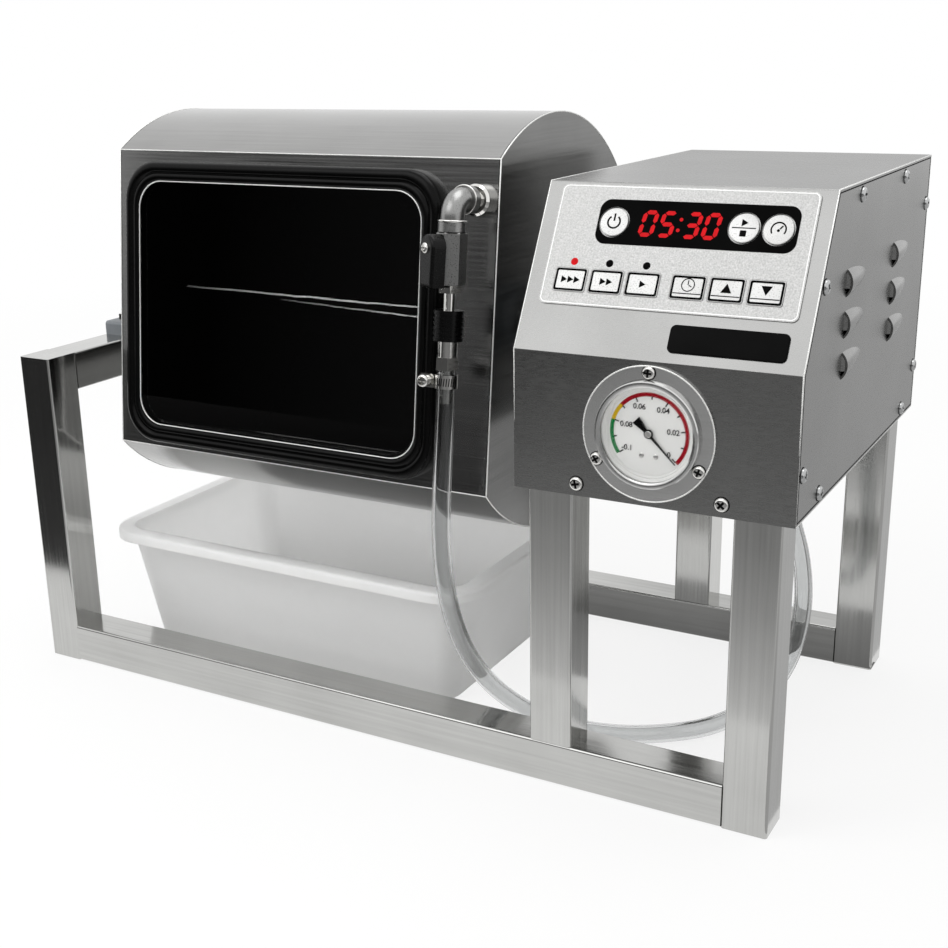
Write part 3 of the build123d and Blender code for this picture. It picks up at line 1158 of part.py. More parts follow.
# Tub: a drafted tray with a broad turned-down rim, standing on the floor.
TUB_PLACE = (X0 + TUB_LEFT + TUB_LENGTH / 2, AXIS_Y)


def tub_section(level, grow, corner):
    """A rounded section of the tub at a level, grown from its footprint on every side."""
    with BuildSketch(Plane((TUB_PLACE[0], TUB_PLACE[1], level))) as section:
        RectangleRounded(TUB_LENGTH + 2 * grow, TUB_DEPTH + 2 * grow, corner)
    return section.sketch


RIM_BOTTOM = TUB_HEIGHT - TUB_RIM_DROP
RIM_GROW = TUB_FLARE + TUB_RIM
SKIRT_GROW = RIM_GROW - TUB_RIM_THICKNESS
with BuildPart() as tub:
    loft([tub_section(0, 0, TUB_CORNER), tub_section(TUB_HEIGHT, TUB_FLARE, TUB_RIM_CORNER)])
    fillet(tub.faces().sort_by(Axis.Z)[0].edges(), TUB_WALL * 2)
    extrude(tub_section(RIM_BOTTOM, RIM_GROW, TUB_RIM_CORNER + TUB_RIM), amount=TUB_RIM_DROP)
    fillet(tub.faces().sort_by(Axis.Z)[-1].outer_wire().edges(), TUB_RIM_THICKNESS)
    # Hollow of the turned-down rim, left open below.
    with BuildSketch(Plane((TUB_PLACE[0], TUB_PLACE[1], RIM_BOTTOM))):
        skirt_corner = TUB_RIM_CORNER + TUB_RIM - TUB_RIM_THICKNESS
        RectangleRounded(TUB_LENGTH + 2 * SKIRT_GROW, TUB_DEPTH + 2 * SKIRT_GROW, skirt_corner)
        RectangleRounded(
            TUB_LENGTH + 2 * TUB_FLARE, TUB_DEPTH + 2 * TUB_FLARE, TUB_RIM_CORNER, mode=Mode.SUBTRACT
        )
    extrude(amount=TUB_RIM_DROP - TUB_RIM_THICKNESS, mode=Mode.SUBTRACT)
    inside_corner = TUB_RIM_CORNER - TUB_WALL
    inside = [
        tub_section(TUB_WALL, -TUB_WALL, TUB_CORNER - TUB_WALL),
        tub_section(TUB_HEIGHT, TUB_FLARE - TUB_WALL, inside_corner),
    ]
    loft(inside, mode=Mode.SUBTRACT)
save(tub, "tub")
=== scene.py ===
import math

import bmesh
import bpy
from mathutils import Matrix, Vector


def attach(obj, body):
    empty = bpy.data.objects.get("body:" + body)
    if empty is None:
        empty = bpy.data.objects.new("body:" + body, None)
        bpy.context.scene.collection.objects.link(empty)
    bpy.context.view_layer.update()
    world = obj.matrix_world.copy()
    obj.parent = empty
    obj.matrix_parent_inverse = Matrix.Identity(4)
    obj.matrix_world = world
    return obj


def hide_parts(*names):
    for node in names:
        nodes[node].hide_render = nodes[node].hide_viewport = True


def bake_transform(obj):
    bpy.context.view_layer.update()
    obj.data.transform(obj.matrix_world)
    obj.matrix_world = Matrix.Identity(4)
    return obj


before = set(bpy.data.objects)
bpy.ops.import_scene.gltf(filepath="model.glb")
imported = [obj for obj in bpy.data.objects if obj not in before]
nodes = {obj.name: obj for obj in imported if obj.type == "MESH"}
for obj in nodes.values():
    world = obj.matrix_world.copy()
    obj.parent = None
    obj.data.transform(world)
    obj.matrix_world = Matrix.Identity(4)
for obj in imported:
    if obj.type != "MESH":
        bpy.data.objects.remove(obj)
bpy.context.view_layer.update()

MM = 0.001

# Places repeated from the part's source, in millimetres.
PANEL_ORIGIN = (123.85, -157.25, 298.0)
PANEL_NORMAL = (0, -0.87592, 0.48244)
GAUGE_ORIGIN = (214.25, -157.25, 253.6)
FACE_ORIGIN = (-83.15, -103.037, 294.334)
FACE_NORMAL = (0, -0.99276, 0.12014)
UPWARD = Vector((0, 0.12014, 0.99276))
INWARD = Vector((0, 0.99276, -0.12014))
CHAIN_ORIGIN = (66.85, -138.776, 298.659)
STEM_ORIGIN = (66.85, -132.165, 353.29)
STEM_WAY = Vector((-0.5, -0.85976, 0.10404))
DRUM_MIDDLE = (-83.15, -5.25, 282.5)
BOX_LEFT, BOX_RIGHT, BOX_FRONT, BOX_BOTTOM = 123.85, 305.85, -157.25, 208.0


def linear(code):
    """An sRGB hex colour as linear red, green, blue and alpha."""
    parts = [int(code[i : i + 2], 16) / 255 for i in (1, 3, 5)]
    return [c / 12.92 if c <= 0.04045 else ((c + 0.055) / 1.055) ** 2.4 for c in parts] + [1.0]


def add(tree, kind, settings=None, **sockets):
    """Add a node; sockets are named with spaces as underscores, or i0, i1 for their numbers."""
    node = tree.nodes.new(kind)
    for name, value in (settings or {}).items():
        setattr(node, name, value)
    for name, value in sockets.items():
        numbered = name[0] == "i" and name[1:].isdigit()
        socket = node.inputs[int(name[1:]) if numbered else name.replace("_", " ")]
        if isinstance(value, bpy.types.NodeSocket):
            tree.links.new(value, socket)
        else:
            socket.default_value = value
    return node


def material(name, **sockets):
    """A new material with its shader's constant sockets set; returns it, its tree and the shader."""
    made = bpy.data.materials.new(name)
    made.use_nodes = True
    shader = made.node_tree.nodes["Principled BSDF"]
    for key, value in sockets.items():
        shader.inputs[key.replace("_", " ")].default_value = value
    return made, made.node_tree, shader


def grain(tree, spacing):
    """Noise whose grain measures spacing, in millimetres along x, y and z."""
    coordinates = add(tree, "ShaderNodeTexCoord")
    scale = [1 / (size * MM) for size in spacing]
    mapping = add(tree, "ShaderNodeMapping", Vector=coordinates.outputs["Object"], Scale=scale)
    return add(tree, "ShaderNodeTexNoise", Vector=mapping.outputs[0], Scale=1.0, Detail=3.0).outputs[0]


def ramp(tree, fac, stops):
    """A colour ramp between hex colours, given as pairs of place and colour."""
    node = add(tree, "ShaderNodeValToRGB", Fac=fac)
    elements = node.color_ramp.elements
    while len(elements) < len(stops):
        elements.new(0.5)
    for element, (place, code) in zip(elements, stops):
        element.position = place
        element.color = linear(code)
    return node.outputs[0]


def span(tree, fac, low, high):
    """A factor from 0.3 to 0.7, where most noise lies, stretched to run from low to high."""
    ends = {"From_Min": 0.3, "From_Max": 0.7, "To_Min": low, "To_Max": high}
    return add(tree, "ShaderNodeMapRange", Value=fac, **ends).outputs[0]


def bump(tree, height, depth):
    """A bump of a depth in millimetres."""
    return add(tree, "ShaderNodeBump", Height=height, Distance=depth * MM, Strength=1.0).outputs[0]


def reckon(tree, operation, *values):
    """A sum on two or three numbers, by the name of its operation."""
    sockets = {f"i{number}": value for number, value in enumerate(values)}
    return add(tree, "ShaderNodeMath", {"operation": operation}, **sockets).outputs[0]


def surface(tree, shader, texture, rough, depth, colour=None):
    """Let a noise set a shader's roughness, between two values, and its bump, in millimetres."""
    if colour is not None:
        tree.links.new(colour, shader.inputs["Base Color"])
    tree.links.new(span(tree, texture, *rough), shader.inputs["Roughness"])
    tree.links.new(bump(tree, texture, depth), shader.inputs["Normal"])


# Materials, each named for what the real one is, or for the light or shade painted in them. The sizes of
# their slow clouding are in millimetres.
STEEL_CLOUD, MOULDED_CLOUD = (70, 70, 70), (40, 40, 40)


def stainless(name, colours, rough, along, width, length, depth, metallic=1.0):
    """Stainless steel with grain lines along one axis, drawn wide enough to show in the picture."""
    made, tree, shader = material(name, Metallic=metallic)
    spacing = [width, width, width]
    spacing["xyz".index(along)] = length
    fine = grain(tree, spacing)
    tint = 0.0
    for noise in (fine, grain(tree, STEEL_CLOUD)):
        tint = reckon(tree, "MULTIPLY_ADD", noise, 0.5, tint)
    surface(tree, shader, fine, rough, depth, ramp(tree, tint, [(0.36, colours[0]), (0.64, colours[1])]))
    return made


# Polished square tube: long faint drawing lines, sharp reflections.
TUBE_STEEL = {
    axis: stainless(
        f"polished_stainless_tube_{axis}", ("#B6B6B4", "#C4C4C2"), (0.1, 0.17), axis, 2.4, 160, 0.003
    )
    for axis in "xyz"
}
# Box sheet: brushed with grit in short strokes, which gives the slope its sparkle.
BOX_STEEL = {
    axis: stainless(
        f"brushed_stainless_box_{axis}", ("#8D8D8C", "#999998"), (0.24, 0.32), axis, 0.9, 7, 0.0015
    )
    for axis in "xy"
}
# Turned shafts and bearing rings: ground steel with lines round them.
GROUND_STEEL = stainless("ground_bearing_steel", ("#B0B0B0", "#C4C4C4"), (0.14, 0.24), "y", 0.8, 12, 0.003)
# Plated fittings: bright nickel, nearly mirror.
NICKEL = stainless("nickel_plated_brass", ("#DEDDDA", "#EAE9E6"), (0.05, 0.1), "z", 1.5, 5, 0.002)
# Side screws: the front screws' nickel plating, painted a little darker as painted shade.
SHADED_NICKEL = stainless("nickel_plating_painted_darker", ("#B6B7B7", "#C4C5C5"), (0.05, 0.1), "z", 1.5, 5, 0.002)
# Cast elbow and valve block: blasted stainless, grainy and softer.
BLASTED = stainless("blasted_cast_stainless", ("#8F8F8E", "#A6A6A5"), (0.26, 0.36), "z", 0.8, 0.8, 0.006)
# Gauge case and rim: silver lacquer over sheet steel, a little milky.
GAUGE_STEEL = stainless(
    "silver_lacquered_steel", ("#CFCFCE", "#DCDCDB"), (0.12, 0.2), "x", 0.7, 20, 0.001, metallic=0.96
)


def drum_steel(axis, colours):
    """Rolled drum sheet with fine lines; its inside is painted near black, with no metal or shine, as painted
    shade.
    """
    made = stainless(f"brushed_stainless_drum_{axis}", colours, (0.15, 0.23), axis, 1.3, 90, 0.0015)
    tree = made.node_tree
    shader = tree.nodes["Principled BSDF"]
    spot = add(tree, "ShaderNodeNewGeometry")
    middle = [value * MM for value in DRUM_MIDDLE]
    kind = "ShaderNodeVectorMath"
    outward = add(tree, kind, {"operation": "SUBTRACT"}, i0=spot.outputs["Position"], i1=middle).outputs[0]
    side = add(tree, kind, {"operation": "DOT_PRODUCT"}, i0=outward, i1=spot.outputs["Normal"])
    outside = reckon(tree, "GREATER_THAN", side.outputs["Value"], 0.0)
    plain = shader.inputs["Base Color"].links[0].from_socket
    # Painted shade: faces that look into the drum take a near black colour.
    painted_inside = add(tree, "ShaderNodeMix", {"data_type": "RGBA"}, i0=outside, i6=linear("#060606"), i7=plain)
    tree.links.new(painted_inside.outputs[2], shader.inputs["Base Color"])
    for socket in ("Metallic", "Specular IOR Level"):
        tree.links.new(outside, shader.inputs[socket])
    return made


# Drum sheet: satin with lines along the shell; the ends are the same steel, painted darker as painted shade.
DRUM_STEEL = {
    "x": drum_steel("x", ("#A0A09F", "#AAAAA9")),
    "y": drum_steel("y", ("#737372", "#828281")),
}


def moulded(name, colours, rough, size, depth, **sockets):
    """A moulded or painted surface: slow colour change and a fine skin texture."""
    made, tree, shader = material(name, **sockets)
    texture = grain(tree, (size, size, size))
    cloud = grain(tree, MOULDED_CLOUD)
    surface(tree, shader, texture, rough, depth, ramp(tree, cloud, [(0.35, colours[0]), (0.65, colours[1])]))
    return made


# Black rubber edge of the lid: smooth, nearly black, with a low gloss.
RUBBER = moulded("epdm_rubber", ("#020202", "#040404"), (0.16, 0.28), 1.2, 0.006, Specular_IOR_Level=0.14)
# Nylon of the lever, sleeve and gland: black with a moulded sheen.
NYLON = moulded("black_nylon", ("#030303", "#060606"), (0.2, 0.32), 0.9, 0.008, Specular_IOR_Level=0.2)
# Grey enamel over a sand casting: slightly lumpy.
CAST_ENAMEL = moulded("enamelled_cast_iron", ("#6A6E72", "#787C80"), (0.4, 0.55), 1.6, 0.06)
# Die-cast housings in the box: dull grey metal.
DIE_CAST = moulded("die_cast_aluminium", ("#8C8E90", "#A2A4A6"), (0.4, 0.55), 1.2, 0.03, Metallic=1.0)
# Circuit board: green solder mask with a soft gloss.
BOARD = moulded("solder_mask", ("#0E4A2A", "#146038"), (0.3, 0.45), 0.8, 0.01)
# Polypropylene tub: milky white, soft sheen, lets some light through.
POLYPROPYLENE = moulded(
    "polypropylene", ("#F8F8F7", "#FCFCFB"), (0.34, 0.46), 1.5, 0.004,
    Subsurface_Weight=1.0, Subsurface_Scale=0.024, Subsurface_Radius=(1, 1, 1),
)
# Dial: white baked enamel with a soft sheen.
DIAL_ENAMEL = moulded("white_dial_enamel", ("#D4D4D2", "#DCDCDA"), (0.35, 0.45), 0.8, 0.004)
# Printing inks, and the needle's black paint: flat colours that hardly shine. The black also paints shade
# into screw recesses and clamp slots.
DULL = {"Specular_IOR_Level": 0.02}
BLACK_INK_AND_SHADE = moulded("black_ink_and_painted_shade", ("#050505", "#0A0A0A"), (0.4, 0.5), 0.7, 0.002, **DULL)
WHITE_INK = moulded("white_screen_ink", ("#E9E9E8", "#F2F2F1"), (0.35, 0.45), 0.7, 0.002)
BAND_INK = {
    hue: moulded(f"{hue}_screen_ink", colours, (0.35, 0.45), 0.7, 0.004, **DULL)
    for hue, *colours in (
        ("red", "#86101B", "#931621"), ("yellow", "#BF9C1C", "#C9A626"), ("green", "#0D6A33", "#14763B")
    )
}
# Window of the display and the unlit lamps: deep black film without shine.
WINDOW_FILM = moulded("black_window_film", ("#030303", "#060606"), (0.4, 0.5), 0.7, 0.002, **DULL)
# Bare badge plate: black anodised and dull.
BADGE = moulded(
    "black_anodised_plate", ("#060606", "#0B0B0B"), (0.3, 0.4), 0.8, 0.004, Specular_IOR_Level=0.03
)
# Beads and cut edges of the door, gauge, box and drum: pale lines, painted highlights.
HIGHLIGHT_BEAD = moulded("pale_highlight_bead", ("#E4E4E2", "#F0F0EE"), (0.25, 0.35), 0.8, 0.004, Metallic=0.5)
# Key caps: embossed silver film with a soft crown.
KEY_FILM = moulded("embossed_silver_film", ("#BDBDBC", "#CCCCCB"), (0.25, 0.35), 0.7, 0.006, Metallic=0.35)
# Keypad: silver polyester film, a metallic print with fine light and dark flakes.
SILVER_FILM, tree, shader = material("silver_polyester_film", Metallic=0.45)
flakes = grain(tree, (0.9, 0.9, 0.9))
flake_colour = ramp(tree, flakes, [(0.3, "#9E9E9D"), (0.5, "#B2B2B1"), (0.7, "#C5C5C4")])
surface(tree, shader, flakes, (0.32, 0.46), 0.01, flake_colour)


def clear(name, code, ior, rough, size, alpha=1.0):
    """A clear plastic or glass: tinted, with a faint surface ripple."""
    made, tree, shader = material(
        name, Transmission_Weight=1.0, IOR=ior, Base_Color=linear(code), Alpha=alpha
    )
    surface(tree, shader, grain(tree, (size, size, size)), rough, 0.02)
    return made


# Smoked acrylic lid that darkens the inside, clear vinyl hose with a soft ripple.
ACRYLIC = clear("smoked_acrylic", "#A8A8A8", 1.49, (0.0, 0.01), 60)
VINYL = clear("clear_vinyl", "#E0E1E1", 1.52, (0.02, 0.05), 9)
# The gauge's mineral glass is thin and clean, so most of the dial is seen straight through it.
GLASS = clear("mineral_glass", "#FBFCFC", 1.45, (0.0, 0.01), 40, alpha=0.1)
# Digits and the lit lamp: red that glows, a little uneven as a diffuser is.
RED_LIGHT, tree, shader = material(
    "red_led_diffuser", Roughness=0.5, Emission_Strength=0.9, Specular_IOR_Level=0.1,
    Base_Color=linear("#300406"),
)
glow = ramp(tree, grain(tree, (3, 3, 3)), [(0.3, "#CE0D16"), (0.7, "#F0101A")])
tree.links.new(glow, shader.inputs["Emission Color"])

# The finish of each solid, by the names of the nodes.
FINISHES = (
    (TUBE_STEEL["x"], "rail_front rail_back"),
    (TUBE_STEEL["y"], "rail_left"),
    (TUBE_STEEL["z"], "post_front_left post_front_mid post_front_right"),
    (TUBE_STEEL["z"], "post_back_left post_back_mid post_back_right"),
    (DRUM_STEEL["x"], "drum_shell drum_baffles"),
    (DRUM_STEEL["y"], "drum_cap_left drum_cap_right"),
    (BOX_STEEL["x"], "box_cover box_back_panel box_floor_pan motor_bracket"),
    (BOX_STEEL["y"], "box_left_cover box_right_cover"),
    (GROUND_STEEL, "shaft_left shaft_right pillow_bearing"),
    (CAST_ENAMEL, "pillow_block flange_bearing"),
    (NICKEL, "pillow_bolts panel_screws valve_nipple valve_ball coupler_plug coupler_body"),
    (NICKEL, "hose_clamp hose_bulkhead"),
    (BLASTED, "valve_elbow valve_body"),
    (GAUGE_STEEL, "gauge_case gauge_bezel"),
    (DIAL_ENAMEL, "gauge_dial"),
    (BLACK_INK_AND_SHADE, "gauge_needle"),
    (GLASS, "gauge_glass"),
    (RUBBER, "lid_gasket"),
    (ACRYLIC, "lid_plate"),
    (VINYL, "hose vacuum_line"),
    (NYLON, "valve_handle coupler_sleeve mains_gland"),
    (SILVER_FILM, "keypad_overlay"),
    (BOARD, "control_board"),
    (DIE_CAST, "gear_motor vacuum_pump"),
    (POLYPROPYLENE, "tub"),
)
for finish, names in FINISHES:
    for name in names.split():
        nodes[name].data.materials.clear()
        nodes[name].data.materials.append(finish)


# Shape helpers. Local shapes are in millimetres and go through a matrix to metres in the part's frame.
# The thickness of a print, and the sides of a bead's section.
INK, BEAD_SIDES = 0.1, 10


def place(origin, normal, across=(1, 0, 0)):
    """A matrix whose z is the normal and whose x is across, at an origin in millimetres."""
    z = Vector(normal).normalized()
    x = Vector(across).normalized()
    y = z.cross(x)
    turn = Matrix((x, y, z)).transposed().to_4x4()
    return Matrix.Translation(Vector(origin) * MM) @ turn @ Matrix.Scale(MM, 4)


PANEL = place(PANEL_ORIGIN, PANEL_NORMAL)
GAUGE = place(GAUGE_ORIGIN, (0, -1, 0))
FACE = place(FACE_ORIGIN, FACE_NORMAL)
CHAIN = place(CHAIN_ORIGIN, UPWARD)
STEM = place(STEM_ORIGIN, STEM_WAY, UPWARD.cross(STEM_WAY))


def new_object(name, data):
    """A new object, put in the scene."""
    made = bpy.data.objects.new(name, data)
    bpy.context.scene.collection.objects.link(made)
    return made


def finish_piece(name, mesh, matrix, look, body, slot, sharp=35):
    """Turn a local mesh into a named piece that rides on a body."""
    mesh.transform(matrix)
    mesh.materials.append(look)
    mesh.shade_smooth()
    mesh.set_sharp_from_angle(angle=math.radians(sharp))
    made = new_object(name, mesh)
    if body:
        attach(made, body)
    return made


def as_mesh(shape, name, turn=True):
    """A mesh from an editing mesh; turn makes its faces look outwards."""
    if turn:
        bmesh.ops.recalc_face_normals(shape, faces=shape.faces)
    mesh = bpy.data.meshes.new(name)
    shape.to_mesh(mesh)
    shape.free()
    return mesh


def shaped_piece(name, shape, *rest, **named):
    """Turn an editing mesh into a named piece that rides on a body."""
    return finish_piece(name, as_mesh(shape, name), *rest, **named)


def skin(shape, loops, ring=False):
    """Join loops of equal length by quads, closed at both ends or as a ring."""
    rows = [[shape.verts.new(point) for point in loop] for loop in loops]
    pairs = list(zip(rows, rows[1:])) + ([(rows[-1], rows[0])] if ring else [])
    count = len(rows[0])
    for low, high in pairs:
        for i in range(count):
            shape.faces.new((low[i], low[(i + 1) % count], high[(i + 1) % count], high[i]))
    if not ring:
        shape.faces.new(list(reversed(rows[0])))
        shape.faces.new(rows[-1])


def full_turn(count):
    """Angles of equal steps round a circle."""
    return [2 * math.pi * i / count for i in range(count)]


def polar(radius, t):
    """The point at a radius and an angle."""
    return radius * math.cos(t), radius * math.sin(t)


def circle(radius, height, count=48, middle=(0, 0)):
    """Points of a level circle."""
    x, y = middle
    return [(x + radius * math.cos(t), y + radius * math.sin(t), height) for t in full_turn(count)]


def rounded(width, height, corner, level=0.0, middle=(0, 0), count=10):
    """Points of a level rounded rectangle."""
    points = []
    for quarter, (sx, sy) in enumerate(((1, 1), (-1, 1), (-1, -1), (1, -1))):
        cx = middle[0] + sx * (width / 2 - corner)
        cy = middle[1] + sy * (height / 2 - corner)
        for i in range(count + 1):
            t = math.pi / 2 * (quarter + i / count)
            points.append((cx + corner * math.cos(t), cy + corner * math.sin(t), level))
    return points


def lathe(profile, count=48, ring=False):
    """A turned shape from pairs of radius and height, closed at both ends or as a ring."""
    shape = bmesh.new()
    skin(shape, [circle(radius, height, count) for radius, height in profile], ring)
    return shape


def bead_shape(loop, spot, size, *more):
    """A closed bead of oval section, along the line that loop gives for a reach and a level."""
    (reach, level), (wide, tall) = spot, size
    shape = bmesh.new()
    places = [(reach + wide * math.cos(t), level + tall * math.sin(t)) for t in full_turn(BEAD_SIDES)]
    skin(shape, [loop(*at, *more) for at in places], ring=True)
    return shape


def curve_mesh(curve):
    """The mesh of a curve, which is then removed."""
    holder = bpy.data.objects.new(curve.name, curve)
    mesh = bpy.data.meshes.new_from_object(holder)
    bpy.data.objects.remove(holder)
    bpy.data.curves.remove(curve)
    return mesh


def flat_shape(name, loops, thickness):
    """A thin sheet from closed loops; a loop inside another is a hole."""
    curve = bpy.data.curves.new(name, "CURVE")
    curve.dimensions = "2D"
    curve.fill_mode = "BOTH"
    curve.extrude = thickness / 2
    for loop in loops:
        spline = curve.splines.new("POLY")
        spline.points.add(len(loop) - 1)
        for point, at in zip(spline.points, loop):
            point.co = (at[0], at[1], 0, 1)
        spline.use_cyclic_u = True
    return curve_mesh(curve)


def printed(name, loops, level, matrix, look, body, slot):
    """An ink print: a thin sheet that lies on a surface at a level."""
    lift = Matrix.Translation((0, 0, level + INK / 2))
    return finish_piece(name, flat_shape(name, loops, INK), matrix @ lift, look, body, slot)


def arc_band(inner, outer, start, end, count=40):
    """Loop of a ring's part between two angles in degrees."""
    turns = [math.radians(start + (end - start) * i / count) for i in range(count + 1)]
    return [polar(outer, t) for t in turns] + [polar(inner, t) for t in reversed(turns)]


def bar(start, end, width):
    """Loop of a straight bar between two points."""
    a, b = Vector(start), Vector(end)
    side = (b - a).normalized().orthogonal() * (width / 2)
    return [tuple(p) for p in (a + side, b + side, b - side, a - side)]


def moved(loop, dx, dy):
    """A loop shifted in its plane."""
    return [(p[0] + dx, p[1] + dy) for p in loop]


# Clear hose along the route of the part's source.
ROUTE = [
    (66.85, -141.6, 275.33), (66.85, -147.85, 223.71), (64.85, -152.25, 166), (65.85, -148.25, 118),
    (71.35, -136.25, 76), (81.85, -120.25, 44.5), (101.35, -105.75, 22.5), (130.35, -95.75, 10),
    (165.35, -85.75, 7), (197.35, -68.25, 7), (226.35, -43.25, 8.5), (250.35, -15.25, 21),
    (264.35, 8.75, 49), (267.85, 19.75, 86), (264.35, 17.75, 124), (257.85, 7.25, 155),
    (255.35, 0.75, 177), (255.35, 0.75, 201),
]
# Radius outside and inside in millimetres, length in metres.
HOSE_OUTSIDE, HOSE_BORE, HOSE_LENGTH, HOSE_SIDES = 6.5, 4.6, 0.648, 24


def hose_line():
    """Points along the smooth line of the hose."""
    curve = bpy.data.curves.new("hose_line", "CURVE")
    curve.dimensions = "3D"
    spline = curve.splines.new("NURBS")
    spline.points.add(len(ROUTE) - 1)
    for point, at in zip(spline.points, ROUTE):
        point.co = (*(c * MM for c in at), 1)
    spline.order_u = 3
    spline.use_endpoint_u = True
    spline.resolution_u = 10
    mesh = curve_mesh(curve)
    points = [v.co.copy() for v in mesh.vertices]
    bpy.data.meshes.remove(mesh)
    return points


def make_hose():
    """A hollow clear tube that bends between the stand and the drum."""
    path = hose_line()
    shape = bmesh.new()
    side = (path[1] - path[0]).orthogonal().normalized()
    walls = {HOSE_OUTSIDE: [], HOSE_BORE: []}
    for i, point in enumerate(path):
        ahead = path[min(i + 1, len(path) - 1)] - path[max(i - 1, 0)]
        ahead.normalize()
        side = (side - ahead * side.dot(ahead)).normalized()
        other = ahead.cross(side)
        for radius, rows in walls.items():
            turns = full_turn(HOSE_SIDES)
            rows.append([point + (side * math.cos(t) + other * math.sin(t)) * radius * MM for t in turns])
    skin(shape, walls[HOSE_OUTSIDE] + list(reversed(walls[HOSE_BORE])), ring=True)
    made = shaped_piece("suction_hose", shape, Matrix.Identity(4), VINYL, None, "clear_hose", sharp=60)
    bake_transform(made)
    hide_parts("hose")


make_hose()

# Rubber edge of the lid: an outer bead, a groove and an inner bead round the clear plate.
LID_WIDTH, LID_HEIGHT, LID_CORNER, LID_SHIFT = 281.0, 217.07, 28.0, -15.0
# The rubber is drawn in along the top and the left, where the photograph shows more of the drum's flat.
EDGE_TRIM = 3.6
# Pairs of inset and level: up the outside, over both beads, and back round the slot of the clear plate.
EDGE_PROFILE = [
    (0, 0), (0, 5.5), (0.3, 7.4), (1.1, 9.1), (2.3, 10.3), (3.8, 10.9), (5.4, 11.0), (6.6, 10.7), (7.4, 9.9),
    (7.9, 9.3), (8.6, 9.3), (9.2, 9.9), (10.2, 10.5), (11.5, 10.6), (12.8, 10.2), (13.6, 9.5), (14.0, 8.5),
    (1.3, 8.5), (1.3, 2.5), (11.0, 2.5), (11.0, 0),
]
LID_BEAD = (14.6, 9.0), (0.42, 0.5)


def lid_loop(inset, level):
    """The lid's outline drawn in by an inset."""
    width, height = LID_WIDTH - EDGE_TRIM - 2 * inset, LID_HEIGHT - EDGE_TRIM - 2 * inset
    middle = (LID_SHIFT + EDGE_TRIM / 2, -EDGE_TRIM / 2)
    return rounded(width, height, LID_CORNER - inset / 2, level, middle)


rubber = bmesh.new()
skin(rubber, [lid_loop(inset, level) for inset, level in EDGE_PROFILE], ring=True)
edge = shaped_piece("lid_edge", rubber, FACE, RUBBER, "lid", "seal_rubber", sharp=40)
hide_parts("lid_gasket")
# A pale bead just inside the rubber's inner edge: a painted highlight line all round.
bead = bead_shape(lid_loop, *LID_BEAD)
shaped_piece("lid_bead", bead, FACE, HIGHLIGHT_BEAD, "lid", "bright_fittings", sharp=60)

# Pan-head screws with a cross recess, in place of the plain heads. Places are across and up the sheet.
FRONT_SCREWS = ((43.4, 8), (137.4, 8))
SIDE_SCREWS = (
    (8, 30), (33.857, 134.891), (107.4, 179.5), (224.84, 179.5),
    (300, 153.75), (300, 33.75), (267.96, 8), (46.2, 8),
)
COVER_HEAD, GAUGE_HEAD, SCREW_RISE = 4.5, 4.0, 2.4
GAUGE_SCREWS, GAUGE_SCREW_CIRCLE, GAUGE_FLANGE = 3, 38.0, 1.5
# Shares of a head's radius and rise: its straight side and dome, and the cross that is cut into it.
HEAD_SIDE, HEAD_DOME, HEAD_FLAT, HEAD_ROUND, DOME_STEPS = 0.25, 0.75, 0.55, 0.45, 6
CROSS_ARM, CROSS_HALF, CROSS_TAPER, CROSS_FLOOR, CROSS_TOP = 0.76, 0.2, 0.6, 0.35, 1.4
# Each head is left at another turn, in degrees.
FIRST_TURN, NEXT_TURN = 12, 37
# Painted shade in a recess, as shares of cross and rise, and a ring of painted shadow round a head's foot.
RECESS_SHADE = ((0.59, 0.36), (0.76, 0.8))
FOOT_SHADOW = ((-0.3, 0), (0.5, 0), (0.5, 0.15), (-0.3, 0.15))


def cross_loop(radius):
    """Loop of the cross recess of a head."""
    arm, half = radius * CROSS_ARM, radius * CROSS_HALF
    return [
        (arm, -half), (arm, half), (half, half), (half, arm), (-half, arm), (-half, half),
        (-arm, half), (-arm, -half), (-half, -half), (-half, -arm), (half, -arm), (half, -half),
    ]


def screw_head(radius, rise):
    """One domed head with a cross cut into it."""
    dome = [(radius, 0), (radius, rise * HEAD_SIDE)]
    for i in range(1, DOME_STEPS + 1):
        t = math.pi / 2 * i / DOME_STEPS
        reach, level = HEAD_FLAT + HEAD_ROUND * math.cos(t), HEAD_SIDE + HEAD_DOME * math.sin(t)
        dome.append((radius * reach, rise * level))
    head = new_object("head", as_mesh(lathe(dome, 32), "head"))
    cutter = bmesh.new()
    cross = cross_loop(radius)
    low = [(x * CROSS_TAPER, y * CROSS_TAPER, rise * CROSS_FLOOR) for x, y in cross]
    skin(cutter, [low, [(x, y, rise * CROSS_TOP) for x, y in cross]])
    tool = new_object("tool", as_mesh(cutter, "tool"))
    cut = head.modifiers.new("cross", "BOOLEAN")
    cut.object = tool
    cut.operation = "DIFFERENCE"
    cut.solver = "EXACT"
    graph = bpy.context.evaluated_depsgraph_get()
    mesh = bpy.data.meshes.new_from_object(head.evaluated_get(graph))
    for made in (head, tool):
        bpy.data.objects.remove(made)
    return mesh


def screw_places():
    """Place, normal, direction across and head radius of the side's screws and of the front's."""
    side, front = [], []
    for depth, up in SIDE_SCREWS:
        side.append(((BOX_RIGHT, BOX_FRONT + depth, BOX_BOTTOM + up), (1, 0, 0), (0, 1, 0), COVER_HEAD))
    for x, up in FRONT_SCREWS:
        front.append(((BOX_LEFT + x, BOX_FRONT, BOX_BOTTOM + up), (0, -1, 0), (1, 0, 0), COVER_HEAD))
    for number in range(GAUGE_SCREWS):
        x, up = polar(GAUGE_SCREW_CIRCLE, math.radians(90 + 360 / GAUGE_SCREWS * number))
        at = (GAUGE_ORIGIN[0] + x, BOX_FRONT - GAUGE_FLANGE, GAUGE_ORIGIN[2] + up)
        front.append((at, (0, -1, 0), (1, 0, 0), GAUGE_HEAD))
    return side, front


